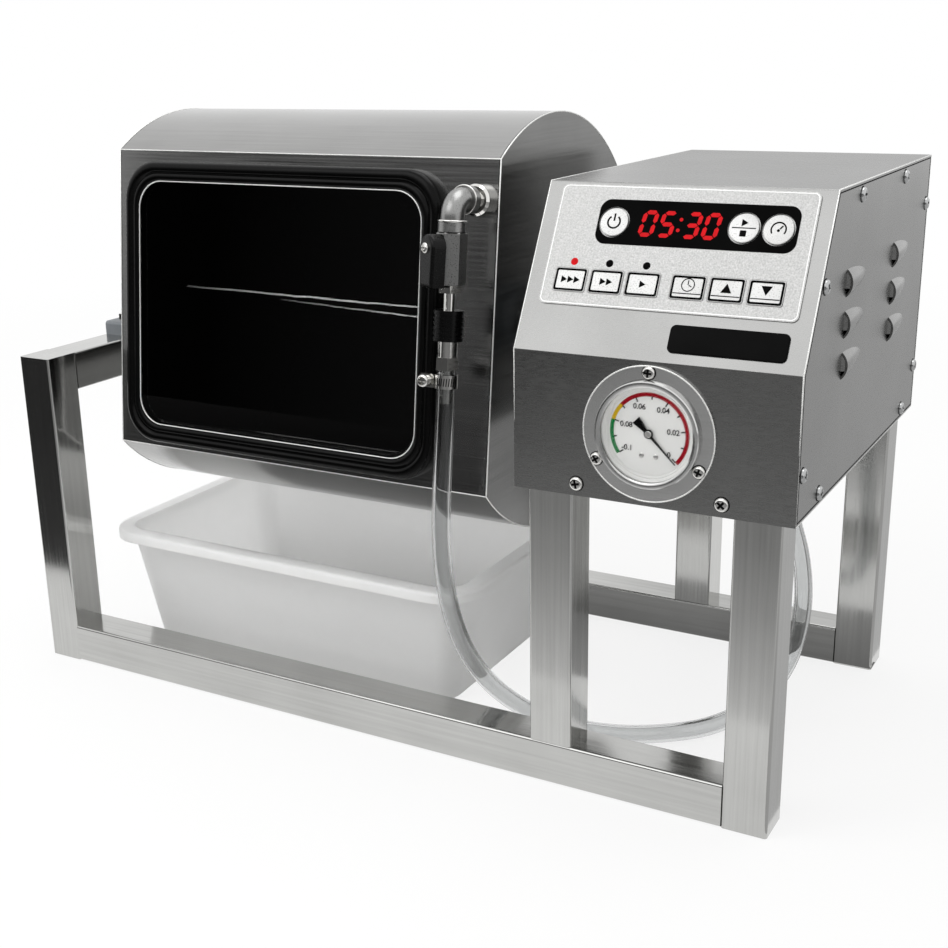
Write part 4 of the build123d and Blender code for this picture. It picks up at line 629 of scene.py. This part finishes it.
def make_screws():
    """The box's and gauge's screws, with painted shade in their recesses and painted shadow round their feet.
    """
    heads = {radius: screw_head(radius, SCREW_RISE) for radius in (COVER_HEAD, GAUGE_HEAD)}
    side, front = screw_places()
    dark = bmesh.new()
    # The side screws take the darker copy of the plating, a painted shade.
    for name, group, look in (("side_cover_screws", side, SHADED_NICKEL), ("front_screws", front, NICKEL)):
        shape = bmesh.new()
        for number, (at, normal, across, radius) in enumerate(group):
            turn = Matrix.Rotation(math.radians(NEXT_TURN * number + FIRST_TURN), 4, "Z")
            matrix = place(at, normal, across) @ turn
            mesh = heads[radius].copy()
            mesh.transform(matrix)
            shape.from_mesh(mesh)
            bpy.data.meshes.remove(mesh)
            cross = cross_loop(radius)
            fill = [[(x * k, y * k, SCREW_RISE * h) for x, y in cross] for k, h in RECESS_SHADE]
            foot = [circle(radius + reach, level) for reach, level in FOOT_SHADOW]
            for loops, ring in ((fill, False), (foot, True)):
                skin(dark, [[matrix @ Vector(point) for point in loop] for loop in loops], ring)
        mesh = as_mesh(shape, name, turn=False)
        made = finish_piece(name, mesh, Matrix.Identity(4), look, "frame", "bright_fittings", sharp=30)
        if name == "front_screws":
            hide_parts("panel_screws")
    # Black ink as painted shade in the recesses and painted shadow round the heads' feet.
    shaped_piece("screw_recess_shade", dark, Matrix.Identity(4), BLACK_INK_AND_SHADE, "frame", "bright_fittings")


make_screws()

# Keypad: printed window, key caps with plain signs, lamps and digits. Places are across and up the slope.
OVERLAY_TOP = 1.0
ROUND_KEY, ROUND_CAP = 9.6, 9.0
ROUND_KEYS = {"key_power": (49.3, 85.0), "key_start": (131.0, 85.0), "key_vacuum": (151.6, 85.0)}
KEY_WIDTH, KEY_HEIGHT, KEY_CORNER, KEY_STEP, KEY_LINE = 21.0, 15.0, 1.2, 23.6, 46.5
KEY_GROUPS = (
    (28.6, ("key_fast", "key_medium", "key_slow")),
    (104.4, ("key_time", "key_time_up", "key_time_down")),
)
FLAT_KEYS = {
    label: (first + KEY_STEP * number, KEY_LINE)
    for first, labels in KEY_GROUPS
    for number, label in enumerate(labels)
}
KEY_FOOT, KEY_TOP = 0.65, 1.5
# Pairs of inset and level up a cap, whose upper edge is softened.
CAP_PROFILE = (
    (0, KEY_FOOT), (0, KEY_TOP - 0.3), (0.08, KEY_TOP - 0.12), (0.25, KEY_TOP - 0.03), (0.4, KEY_TOP)
)
# The line round a flat key: how much narrower than the cap, and its corner, outside and inside.
KEY_LINES = ((0.8, 1.2), (3.4, 0.8))


def triangle(size, turn):
    """Loop of a triangle that points along an angle in degrees."""
    return [polar(size, math.radians(turn + 120 * i)) for i in range(3)]


ARROW = triangle(2.6, 0)
UNDERLINE = bar((-8.6, -3.8), (8.6, -3.8), 0.6)
SIGNS = {
    "key_power": [arc_band(3.4, 4.5, 125, 415), bar((0, 0.6), (0, 5.4), 1.1)],
    "key_start": [
        moved(ARROW, -0.4, 3.2), bar((-7.2, 0), (7.2, 0), 0.6), rounded(3.8, 3.8, 0.2, 0, (0, -3.4), 2)
    ],
    "key_vacuum": [
        arc_band(3.9, 4.8, -35, 215), bar((0.75, 0.31), (2.4, 2.3), 0.9), circle(0.9, 0, 16, (0, -0.6))
    ],
    "key_fast": [moved(ARROW, x, 0) for x in (-4.6, -0.4, 3.8)],
    "key_medium": [moved(ARROW, x, 0) for x in (-2.5, 1.7)],
    "key_slow": [moved(ARROW, -0.4, 0)],
    "key_time": [
        moved(arc_band(3.6, 4.2, 0, 359.9), 0, 1.6),
        bar((0, 1.6), (0, 4.4), 0.6),
        bar((0.45, 1.4), (2.3, 0.5), 0.6),
        UNDERLINE,
    ],
    "key_time_up": [moved(triangle(3.8, 90), 0, 0.2), UNDERLINE],
    "key_time_down": [moved(triangle(3.8, -90), 0, 2.2), UNDERLINE],
}


def flat_key(narrower, corner, level, middle):
    """Loop of a flat key's outline, made narrower all round."""
    return rounded(KEY_WIDTH - narrower, KEY_HEIGHT - narrower, corner, level, middle, 5)


def make_keys():
    """Key caps with softened edges, each with its sign."""
    for label, spot in {**ROUND_KEYS, **FLAT_KEYS}.items():
        shape = bmesh.new()
        if label in ROUND_KEYS:
            loops = [circle(ROUND_CAP - inset, level, 48, spot) for inset, level in CAP_PROFILE]
        else:
            loops = [flat_key(2 * inset, KEY_CORNER, level, spot) for inset, level in CAP_PROFILE]
        skin(shape, loops)
        mesh = as_mesh(shape, label)
        cap = finish_piece(f"{label}_cap", mesh, PANEL, KEY_FILM, label, "key_film", sharp=50)
        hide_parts(label)
        loops = [moved(loop, *spot) for loop in SIGNS[label]]
        if label in FLAT_KEYS:
            loops += [flat_key(narrower, corner, 0, spot) for narrower, corner in KEY_LINES]
        printed(f"{label}_sign", loops, KEY_TOP, PANEL, BLACK_INK_AND_SHADE, label, "key_film")


make_keys()
key_holes = [circle(ROUND_KEY + 0.3, 0, 48, spot) for spot in ROUND_KEYS.values()]
window = rounded(125.0, 29.0, 7.0, 0, (100.9, 85.3))
printed("display_window", [window, *key_holes], OVERLAY_TOP, PANEL, WINDOW_FILM, "frame", "keypad_film")

# Clock of the display: four slanted figures with a colon.
SEGMENTS = {"0": "abcdef", "3": "abcdg", "5": "acdfg"}
DIGIT_WIDTH, DIGIT_HEIGHT, STROKE, SLANT, SEGMENT_GAP = 7.3, 14.4, 2.6, 0.14, 0.35
FIGURES, FIGURE_PLACES, FIGURE_LINE = "0530", (71.6, 83.6, 99.4, 111.4), 85.1
COLON_PLACE, COLON_RADIUS, COLON_RISE = 91.4, 1.15, 3.4


def segment_loops(figure):
    """Bars of one seven-segment figure, about its middle."""
    w, h, s, gap = DIGIT_WIDTH / 2, DIGIT_HEIGHT / 2, STROKE / 2, SEGMENT_GAP
    ends = {}
    for letter, level in (("a", h), ("g", 0), ("d", -h)):
        ends[letter] = ((-w + gap, level), (w - gap, level))
    for letter, x in (("f", -w), ("b", w)):
        ends[letter] = ((x, h - gap), (x, gap))
    for letter, x in (("e", -w), ("c", w)):
        ends[letter] = ((x, -gap), (x, -h + gap))
    loops = []
    for letter in SEGMENTS[figure]:
        a, b = (Vector(p) for p in ends[letter])
        along = (b - a).normalized()
        side = Vector((-along.y, along.x)) * s
        upper = [a, a + along * s + side, b - along * s + side]
        lower = [b, b - along * s - side, a + along * s - side]
        loops.append([(p.x + SLANT * p.y, p.y) for p in upper + lower])
    return loops


digit_loops = []
for figure, x in zip(FIGURES, FIGURE_PLACES):
    digit_loops += [moved(loop, x, FIGURE_LINE) for loop in segment_loops(figure)]
for rise in (-COLON_RISE, COLON_RISE):
    digit_loops.append(circle(COLON_RADIUS, 0, 16, (COLON_PLACE + SLANT * rise, FIGURE_LINE + rise)))
printed("clock_digits", digit_loops, OVERLAY_TOP + INK, PANEL, RED_LIGHT, "frame", "keypad_film")

# Three small lamps over the speed keys; the first is lit.
LAMP_PROFILE = ((2.4, 0), (2.3, 0.15), (1.9, 0.35), (1.0, 0.5), (0.1, 0.55))
LAMP_PLACES, LAMP_LINE = (28.8, 52.1, 76.1), 58.4
for number, x in enumerate(LAMP_PLACES):
    mesh = as_mesh(lathe(LAMP_PROFILE, 24), "speed_lamp")
    mesh.transform(Matrix.Translation((x, LAMP_LINE, OVERLAY_TOP)))
    look = RED_LIGHT if number == 0 else WINDOW_FILM
    finish_piece(f"speed_lamp_{number}", mesh, PANEL, look, "frame", "keypad_film")

# Bare badge plate below the keypad, with a rounded edge given as pairs of inset and level.
BADGE_WIDTH, BADGE_HEIGHT, BADGE_CORNER, BADGE_MIDDLE = 71.5, 17.3, 3.5, (134.8, 15.0)
badge = bmesh.new()
badge_loops = []
for inset, level in ((0, 0), (0, 0.7), (0.3, 1.0), (0.8, 1.1)):
    width, height = BADGE_WIDTH - 2 * inset, BADGE_HEIGHT - 2 * inset
    badge_loops.append(rounded(width, height, BADGE_CORNER - inset, level, BADGE_MIDDLE, 8))
skin(badge, badge_loops)
shaped_piece("badge_plate", badge, PANEL, BADGE, "frame", "keypad_film")

# Gauge: turned bezel, cone between glass and dial, printed dial, needle with its boss.
DIAL_TOP = -1.2
RIM_PROFILE = [
    (31.5, 1.5), (33.5, 1.5), (33.5, 3.9), (33.3, 4.7), (32.7, 5.3), (31.9, 5.5), (31.0, 5.4), (30.2, 5.1),
    (29.5, 4.7), (29.5, 4.5), (31.5, 4.5),
]
CONE_PROFILE = [
    (30.3, DIAL_TOP), (30.3, 1.8), (29.4, 1.9), (28.2, 0.9), (28.0, 0.4), (27.2, 0.2), (26.4, DIAL_TOP)
]
GAUGE_SIDES, FLANGE_SIDES = 72, 96
FLANGE_BEAD = (42.0, 1.35), (0.5, 0.6)
SCALE_START, SCALE_SWEEP, SCALE_FULL = -43.0, 259.0, 0.1
BAND_INSIDE, BAND_OUTSIDE = 22.9, 25.4
BANDS = (("red", 0.0, 0.07), ("yellow", 0.07, 0.08), ("green", 0.08, 0.1))
TICKS, TICK_STEP, TICK_WIDTH, TICK_LIFT = 11, 0.01, 0.9, 0.03
LONG_TICK, SHORT_TICK, TICK_END = 20.4, 21.2, 23.2
# Numbers of the dial: value, wording and how far from the middle.
NUMBERS = (
    (0, "0", 17.4), (0.02, "0.02", 15.4), (0.04, "0.04", 17.4),
    (0.06, "0.06", 17.4), (0.08, "0.08", 15.4), (0.1, "-0.1", 17.4),
)
NUMBER_SIZE, NUMBER_WEIGHT = 4.7, 0.12
DIAL_SCREW_PROFILE = ((1.7, 0), (1.7, 0.3), (1.3, 0.6), (0.1, 0.7))
DIAL_SCREW_PLACES = ((-4.6, -14.0), (4.6, -14.0))
NEEDLE_TOP, NEEDLE_FOOT, NEEDLE_REST = 0.6, 0.0, -45.0
HUB, TAIL, TAIL_HALF, POINT, POINT_HALF = 2.9, 11.4, 2.9, 24.5, 0.2
BOSS_PROFILE = ((2.1, 0), (2.1, 0.4), (1.8, 0.7), (1.1, 0.7), (1.0, 0.5), (0.1, 0.5))


def scale_angle(value):
    """Angle of a dial value, counted from the right, turning up and to the left."""
    return SCALE_START + SCALE_SWEEP * value / SCALE_FULL


def dial_number(words, spot):
    """A number as a thin sheet, centred on a spot."""
    curve = bpy.data.curves.new("number", "FONT")
    curve.body, curve.size, curve.offset, curve.extrude = words, NUMBER_SIZE, NUMBER_WEIGHT, INK / 2
    curve.align_x = curve.align_y = "CENTER"
    mesh = curve_mesh(curve)
    mesh.transform(Matrix.Translation((*spot, 0)))
    return mesh


def make_dial():
    """Scale bands, ticks, numbers and the dial's two screws."""
    for hue, low, high in BANDS:
        band = [arc_band(BAND_INSIDE, BAND_OUTSIDE, scale_angle(low), scale_angle(high))]
        printed(f"dial_{hue}_band", band, DIAL_TOP, GAUGE, BAND_INK[hue], "frame", "dial_enamel")
    ticks = []
    for number in range(TICKS):
        t = math.radians(scale_angle(number * TICK_STEP))
        inner = LONG_TICK if number % 2 == 0 else SHORT_TICK
        ticks.append(bar(polar(inner, t), polar(TICK_END, t), TICK_WIDTH))
    printed("dial_ticks", ticks, DIAL_TOP + TICK_LIFT, GAUGE, BLACK_INK_AND_SHADE, "frame", "dial_enamel")
    numbers = bmesh.new()
    for value, words, reach in NUMBERS:
        mesh = dial_number(words, polar(reach, math.radians(scale_angle(value))))
        numbers.from_mesh(mesh)
        bpy.data.meshes.remove(mesh)
    lift = GAUGE @ Matrix.Translation((0, 0, DIAL_TOP + INK / 2))
    mesh = as_mesh(numbers, "dial_numbers", turn=False)
    finish_piece("dial_numbers", mesh, lift, BLACK_INK_AND_SHADE, "frame", "dial_enamel")
    for number, (x, y) in enumerate(DIAL_SCREW_PLACES):
        head = as_mesh(lathe(DIAL_SCREW_PROFILE, 20), "dial_screw")
        spot = GAUGE @ Matrix.Translation((x, y, DIAL_TOP))
        finish_piece(f"dial_screw_{number}", head, spot, NICKEL, "frame", "bright_fittings")


def make_needle():
    """The needle, from its point over the hub to its tail, and the boss that holds it."""
    hub = [polar(HUB, math.radians(t)) for t in range(15, 156, 10)]
    upper = [(POINT, POINT_HALF), *hub, (-TAIL, TAIL_HALF)]
    outline = upper + [(x, -y) for x, y in reversed(upper)]
    mesh = flat_shape("dial_needle", [outline], NEEDLE_TOP - NEEDLE_FOOT)
    turn = Matrix.Rotation(math.radians(NEEDLE_REST), 4, "Z")
    spot = GAUGE @ Matrix.Translation((0, 0, (NEEDLE_TOP + NEEDLE_FOOT) / 2)) @ turn
    needle = finish_piece("dial_needle", mesh, spot, BLACK_INK_AND_SHADE, "needle", "dial_enamel")
    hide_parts("gauge_needle")
    spot = GAUGE @ Matrix.Translation((0, 0, NEEDLE_TOP))
    shaped_piece("needle_boss", lathe(BOSS_PROFILE, 32), spot, NICKEL, "needle", "bright_fittings")


rim = lathe(RIM_PROFILE, GAUGE_SIDES, ring=True)
rim = shaped_piece("gauge_rim", rim, GAUGE, GAUGE_STEEL, "frame", "bright_fittings", sharp=30)
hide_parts("gauge_bezel")
cone = lathe(CONE_PROFILE, GAUGE_SIDES, ring=True)
shaped_piece("dial_cone", cone, GAUGE, DIAL_ENAMEL, "frame", "dial_enamel", sharp=20)
# The flange's rolled edge, as a pale bead: a painted highlight line.
bead = bead_shape(circle, *FLANGE_BEAD, FLANGE_SIDES)
shaped_piece("flange_bead", bead, GAUGE, HIGHLIGHT_BEAD, "frame", "bright_fittings", sharp=60)
make_dial()
make_needle()

# Bright screw on the lever's hub.
LEVER_HEAD, LEVER_HEAD_RISE, LEVER_TOP = 3.6, 2.0, 19.16
spot = STEM @ Matrix.Translation((0, 0, LEVER_TOP))
lever_head = screw_head(LEVER_HEAD, LEVER_HEAD_RISE)
finish_piece("lever_screw", lever_head, spot, NICKEL, "valve", "bright_fittings", sharp=30)

# Thin pale rods along the edges where the sheets are cut: painted highlight lines.
BOX_OUTLINE = [
    (BOX_FRONT, BOX_BOTTOM), (BOX_FRONT, 298.0), (-103.55, 395.5), (150.75, 395.5), (150.75, BOX_BOTTOM)
]
DRUM_LEFT, DRUM_RIGHT, DRUM_RADIUS, DRUM_FLAT = -247.65, 81.35, 150.0, 98.5
# The rods' size, and how deep they lie in the edges of box and drum.
ROD_RADIUS, ROD_SIDES, BOX_ROD_SINK, BOX_ROD_INSET, DRUM_ROD_SINK = 0.5, 8, 0.35, 0.3, 0.2
SEAM_INSETS = (1.7, 2.5)


def drawn_in(outline, inset):
    """A closed outline of corners, all its sides moved inwards."""
    corners = []
    count = len(outline)
    for i in range(count):
        before, corner, after = (Vector(outline[(i + k) % count]) for k in (-1, 0, 1))
        first = (corner - before).normalized()
        second = (after - corner).normalized()
        inward = Vector((first.y, -first.x)) + Vector((second.y, -second.x))
        corners.append(tuple(corner + inward * inset / (1 + first.dot(second))))
    return corners


def edge_rod(name, points, body, slot):
    """A thin pale rod, a painted highlight, along a closed line of points that lies square to x."""
    shape = bmesh.new()
    rows = []
    count = len(points)
    side = Vector((1, 0, 0))
    for i, point in enumerate(points):
        here = Vector(point)
        ahead = Vector(points[(i + 1) % count]) - Vector(points[i - 1])
        ahead.normalize()
        other = ahead.cross(side)
        turns = full_turn(ROD_SIDES)
        rows.append([here + (side * math.cos(t) + other * math.sin(t)) * ROD_RADIUS for t in turns])
    skin(shape, rows, ring=True)
    shaped_piece(name, shape, Matrix.Scale(MM, 4), HIGHLIGHT_BEAD, body, slot, sharp=60)


def drum_outline(x, inset):
    """Points round the drum's end at x, from one fold of its flat to the other."""
    edge = math.acos(-DRUM_FLAT / DRUM_RADIUS)
    turns = [edge * (i / 48 - 1) for i in range(97)]
    radius = DRUM_RADIUS - inset
    middle = Vector((x, *DRUM_MIDDLE[1:]))
    return [middle + (INWARD * math.cos(t) + UPWARD * math.sin(t)) * radius for t in turns]


for name, x in (("left", BOX_LEFT + BOX_ROD_SINK), ("right", BOX_RIGHT - BOX_ROD_SINK)):
    corners = [(x, *corner) for corner in drawn_in(BOX_OUTLINE, BOX_ROD_INSET)]
    edge_rod(f"box_edge_{name}", corners, "frame", "box_steel")
SIDE = place((BOX_RIGHT, 0, 0), (1, 0, 0), (0, 1, 0))
seam = [drawn_in(BOX_OUTLINE, inset) for inset in SEAM_INSETS]
printed("box_seam_right", seam, 0.0, SIDE, BLACK_INK_AND_SHADE, "frame", "box_steel")
for name, x in (("right", DRUM_RIGHT - DRUM_ROD_SINK), ("left", DRUM_LEFT + DRUM_ROD_SINK)):
    edge_rod(f"drum_edge_{name}", drum_outline(x, DRUM_ROD_SINK), "drum", "drum_steel")

# Pale rods along the two folds at the drum's flat: painted highlight lines on their rounded edge.
FOLD_RADIUS, FOLD_SINK, FOLD_END = 0.42, 0.3, 0.5
folds = bmesh.new()
outline = drum_outline(0, FOLD_SINK)
for corner in (outline[0], outline[-1]):
    turns = full_turn(BEAD_SIDES)
    ring = [(corner.y + FOLD_RADIUS * math.cos(t), corner.z + FOLD_RADIUS * math.sin(t)) for t in turns]
    skin(folds, [[(x, y, z) for y, z in ring] for x in (DRUM_LEFT + FOLD_END, DRUM_RIGHT - FOLD_END)])
shaped_piece("drum_folds", folds, Matrix.Scale(MM, 4), HIGHLIGHT_BEAD, "drum", "drum_steel", sharp=60)

# Bright rims of the elbow's two collars.
COLLAR_RADIUS, COLLAR_TOP, ELBOW_LEVEL, COLLAR_REACH = 9.2, 72.3, 86.03, 13.6
COLLAR_RIM = (0.6, 0.8)
NIPPLE = place(Vector(CHAIN_ORIGIN) + UPWARD * ELBOW_LEVEL + INWARD * COLLAR_REACH, INWARD)
for name, matrix, level in (("lower", CHAIN, COLLAR_TOP), ("upper", NIPPLE, 0.0)):
    rim = as_mesh(bead_shape(circle, (COLLAR_RADIUS, level), COLLAR_RIM), name)
    finish_piece(f"elbow_rim_{name}", rim, matrix, NICKEL, "drum", "bright_fittings", sharp=60)

# Folded tabs that close the upper part of each louvre, so that only its lower part looks black.
LOUVRE_FRONTS, LOUVRE_LEVELS = (-74.25, 47.75), (286.5, 311.9, 337.3)
LOUVRE_ARC, LOUVRE_LINE, LOUVRE_SLANT = 10.16, 298.24, 0.58
TAB_FOOT, TAB_HEIGHT, TAB_STEPS, TAB_SINK, TAB_FORWARD, TAB_THICKNESS = -3.0, 9.8, 12, 0.25, 1.0, 0.4
tabs = bmesh.new()
heights = [TAB_FOOT + TAB_HEIGHT * i / TAB_STEPS for i in range(TAB_STEPS + 1)]
for front in LOUVRE_FRONTS:
    for level in LOUVRE_LEVELS:
        arc = [(LOUVRE_LINE + math.sqrt(LOUVRE_ARC**2 - h * h), level + h) for h in heights]
        low, high = ((BOX_RIGHT - TAB_SINK, level + h) for h in (heights[0], heights[-1]))
        loop = [(x, front - TAB_FORWARD + LOUVRE_SLANT * (x - BOX_RIGHT), z) for x, z in (low, *arc, high)]
        skin(tabs, [[(x, y + deep, z) for x, y, z in loop] for deep in (0.0, TAB_THICKNESS)])
shaped_piece("louvre_tabs", tabs, Matrix.Scale(MM, 4), BOX_STEEL["y"], "frame", "box_steel")

# Worm clamp: screw head in front, and the slanted slots in the band that the worm runs in, painted black as
# the shade inside them.
CLAMP_LEVEL, CLAMP_RADIUS, CLAMP_SCREW, CLAMP_HEAD, CLAMP_RISE = -31.0, 7.8, (-12.8, -8.5), 4.2, 2.2
SLOTS, FIRST_SLOT, SLOT_STEP, SLOT_SINK, SLOT_LIFT = 13, -165, 12.5, 0.2, 0.08
SLOT_CORNERS = ((0, -2.6), (0.08, -2.6), (0.14, 2.6), (0.06, 2.6))
head = screw_head(CLAMP_HEAD, CLAMP_RISE)
spot = CHAIN @ Matrix.Translation((*CLAMP_SCREW, CLAMP_LEVEL)) @ Matrix.Rotation(math.radians(90), 4, "X")
finish_piece("clamp_screw", head, spot, NICKEL, "drum", "bright_fittings", sharp=30)
slots = bmesh.new()
for number in range(SLOTS):
    start = math.radians(FIRST_SLOT + SLOT_STEP * number)
    rows = []
    for radius in (CLAMP_RADIUS - SLOT_SINK, CLAMP_RADIUS + SLOT_LIFT):
        rows.append([(*polar(radius, start + turn), CLAMP_LEVEL + level) for turn, level in SLOT_CORNERS])
    skin(slots, rows)
shaped_piece("clamp_slot_shade", slots, CHAIN, BLACK_INK_AND_SHADE, "drum", "bright_fittings")

# Light line printed round the keypad.
PAD_MIDDLE = (91.5, 69.8)
border = [rounded(161.2, 77.0, 3.6, 0, PAD_MIDDLE), rounded(160.0, 75.8, 3.2, 0, PAD_MIDDLE)]
printed("pad_border", border, OVERLAY_TOP, PANEL, WHITE_INK, "frame", "keypad_film")

# Studio: white floor, cards, lights and camera, in metres.
FLOOR_REACH, FLOOR_DROP = 9, 0.0004
# The floor shows a little darker near the machine, and white from FADE_FAR on.
FADE_NEAR, FADE_FAR, NEAR_SHARE = 0.6, 2.0, 0.82


def seen_rays(tree):
    """1 for rays that show a thing, straight, mirrored or through clear pieces; 0 for others."""
    path = add(tree, "ShaderNodeLightPath")
    seen = path.outputs["Is Camera Ray"]
    for kind in ("Is Glossy Ray", "Is Transmission Ray"):
        seen = reckon(tree, "MAXIMUM", seen, path.outputs[kind])
    return seen


def oblong(a0, a1, b0, b1):
    """Four corners of an oblong."""
    return (a0, b0), (a1, b0), (a1, b1), (a0, b1)


def sheet(name, corners, look):
    """A flat sheet of the studio from four corners."""
    mesh = bpy.data.meshes.new(name)
    mesh.from_pydata(corners, [], [(0, 1, 2, 3)])
    mesh.materials.append(look)
    made = new_object(name, mesh)
    return made


def make_floor():
    """White paper that throws soft light, and shows nearly white to the camera."""
    look, tree, shader = material(
        "white_paper_floor", Base_Color=linear("#EFEFEE"), Roughness=0.9, Specular_IOR_Level=0.0
    )
    spot = add(tree, "ShaderNodeNewGeometry")
    away = add(tree, "ShaderNodeVectorMath", {"operation": "LENGTH"}, i0=spot.outputs["Position"])
    ends = {"From_Min": FADE_NEAR, "From_Max": FADE_FAR, "To_Min": NEAR_SHARE, "To_Max": 1.0}
    fade = add(tree, "ShaderNodeMapRange", Value=away.outputs["Value"], **ends)
    share = reckon(tree, "MULTIPLY", seen_rays(tree), fade.outputs[0])
    white = add(tree, "ShaderNodeEmission", Color=(1, 1, 1, 1), Strength=1.0)
    mix = add(tree, "ShaderNodeMixShader", i0=share, i1=shader.outputs[0], i2=white.outputs[0])
    tree.links.new(mix.outputs[0], tree.nodes["Material Output"].inputs["Surface"])
    corners = [(x, y, 0) for x, y in oblong(-FLOOR_REACH, FLOOR_REACH, -FLOOR_REACH, FLOOR_REACH)]
    sheet("floor", corners, look).location.z = -FLOOR_DROP


make_floor()

# Cards that only reflections see: the dark ones give the steel its dark side, and the pale ones its light.
CARD_LEVEL, FRONT_WALL, UPPER_WALL, LAMP_WALL, BACK_WALL = 0.001, -3.0, -2.98, -2.99, 3


def card(name, corners, along, first, last, stops, strength=1.0):
    """A card of the studio that only shows in reflections, shaded along x or y between two places."""
    look, tree, shader = material(
        f"{name}_paper", Base_Color=linear("#000000"), Roughness=1.0, Specular_IOR_Level=0.0,
        Emission_Strength=strength,
    )
    spot = add(tree, "ShaderNodeNewGeometry")
    split = add(tree, "ShaderNodeSeparateXYZ", Vector=spot.outputs["Position"])
    share = add(tree, "ShaderNodeMapRange", Value=split.outputs[along], From_Min=first, From_Max=last)
    tree.links.new(ramp(tree, share.outputs[0], stops), shader.inputs["Emission Color"])
    made = sheet(name, corners, look)
    made.visible_camera = made.visible_diffuse = made.visible_shadow = False
    return made


def level_card(name, x0, x1, y0, y1, stops):
    """A card that lies just over the floor, shaded along y from its far edge to its near edge."""
    corners = [(x, y, CARD_LEVEL) for x, y in oblong(x0, x1, y0, y1)]
    return card(name, corners, 1, y1, y0, stops)


def wall_card(name, x0, x1, y, z0, z1, first, last, stops):
    """A card that stands across the room, shaded along x between two places."""
    card(name, [(x, y, z) for x, z in oblong(x0, x1, z0, z1)], 0, first, last, stops)


LEFT_STOPS = [(0, "#444444"), (0.12, "#343434"), (0.5, "#303030"), (1, "#484848")]
RIGHT_STOPS = [(0, "#E6E6E6"), (0.07, "#B4B4B4"), (0.14, "#949494"), (1, "#8A8A8A")]
WALL_STOPS = [(0, "#E6E6E6"), (0.035, "#E6E6E6"), (0.055, "#161616"), (0.167, "#161616"), (1, "#7A7A7A")]
level_card("left_floor_card", -5, -0.34, -3.0, -0.3, LEFT_STOPS)
level_card("right_floor_card", -0.34, 5, -3.0, -0.3, RIGHT_STOPS)
# A grey card beneath the stand: painted shade of the floor under the machine, which only reflections see.
under_shade_card = level_card("under_shade_card", -0.1, 0.3, 0.0, 0.13, [(0, "#7E7E7E"), (1, "#A6A6A6")])
under_shade_card.visible_transmission = False
level_card("side_floor_card", 0.302, 5, 5, -0.3, [(0, "#C4C4C4"), (1, "#DCDCDC")])
wall_card("back_card", -1.25, 0.4, BACK_WALL, 0.1, 1.3, -1.25, -1.0, [(0, "#FFFFFF"), (1, "#E2E2E2")])
wall_card("wall_card", -5, 5, FRONT_WALL, 0, 1.2, -3.1, 0.5, WALL_STOPS)
wall_card("upper_wall_card", -5, 1.5, UPPER_WALL, 0.93, 1.2, -2.5, 0.5, [(0, "#8C8C8C"), (1, "#9C9C9C")])
# Two thin lamps far in front, which the door mirrors as fine lines that fade to the left.
LAMP_FADE, LAMP_STRENGTH = 0.5, 7.0
for name, left, right, left_level, right_level, width in (
    ("upper_lamp", -2.6, -1.63, 0.388, 0.383, 0.005),
    ("lower_lamp", -2.2, -1.63, 0.371, 0.352, 0.004),
):
    ends = ((left, left_level), (right, right_level))
    corners = [(x, LAMP_WALL, z) for x, z in ends] + [(x, LAMP_WALL, z + width) for x, z in reversed(ends)]
    card(name, corners, 0, left, left + LAMP_FADE, [(0, "#606060"), (1, "#FFFFFF")], LAMP_STRENGTH)

# The room is white where it is seen, and lights the machine a little less.
ROOM_LIGHT = 0.75
world = bpy.data.worlds.new("studio")
bpy.context.scene.world = world
world.use_nodes = True
tree = world.node_tree
background = tree.nodes["Background"]
strength = add(tree, "ShaderNodeMapRange", Value=seen_rays(tree), To_Min=ROOM_LIGHT, To_Max=1.0)
background.inputs["Color"].default_value = (1, 1, 1, 1)
tree.links.new(strength.outputs[0], background.inputs["Strength"])

# Soft boxes: place, where they aim, size, watts, and whether the steel mirrors them.
SOFT_BOXES = (
    ("key_box", (-0.7, -1.8, 2.15), (0.2, -0.1, 0.35), (1.9, 1.5), 10.5, True),
    ("top_box", (0.2, 0.3, 2.2), (0, 0, 0.2), (1.6, 1.2), 12, True),
    ("front_fill", (-0.3, -2.2, 0.6), (-0.1, 0, 0.1), (2.4, 0.9), 7.5, False),
    ("left_fill", (-0.9, -1.0, 1.5), (-0.1, -0.05, 0.1), (0.9, 0.7), 9, False),
)
for name, spot, target, size, power, mirrored in SOFT_BOXES:
    light = bpy.data.lights.new(name, "AREA")
    light.shape = "RECTANGLE"
    light.size, light.size_y = size
    light.energy = power
    soft_box = new_object(name, light)
    soft_box.location = spot
    soft_box.rotation_euler = (Vector(target) - Vector(spot)).to_track_quat("-Z", "Y").to_euler()
    soft_box.visible_glossy = soft_box.visible_transmission = mirrored

# Camera at the photograph's place, from its solved angles.
AZIMUTH, ELEVATION, ROLL = math.radians(29.75), math.radians(17.4), math.radians(-1.19)
CAMERA_PLACE = (0.50578, -0.90077, 0.4801)
SENSOR, FOCAL_LENGTH, LENS_SHIFT = 36, 52.14, (0.01935, -0.0022)
level = math.cos(ELEVATION)
back = Vector((math.sin(AZIMUTH) * level, -math.cos(AZIMUTH) * level, math.sin(ELEVATION)))
right = Vector((math.cos(AZIMUTH), math.sin(AZIMUTH), 0))
up = back.cross(right)
across = right * math.cos(ROLL) + up * math.sin(ROLL)
upright = up * math.cos(ROLL) - right * math.sin(ROLL)
lens = bpy.data.cameras.new("camera")
lens.sensor_width = SENSOR
lens.lens = FOCAL_LENGTH
lens.shift_x, lens.shift_y = LENS_SHIFT
camera = new_object("camera", lens)
turn = Matrix((across, upright, back)).transposed().to_4x4()
camera.matrix_world = Matrix.Translation(CAMERA_PLACE) @ turn
bpy.context.scene.camera = camera
bpy.context.scene.view_settings.view_transform = "Standard"
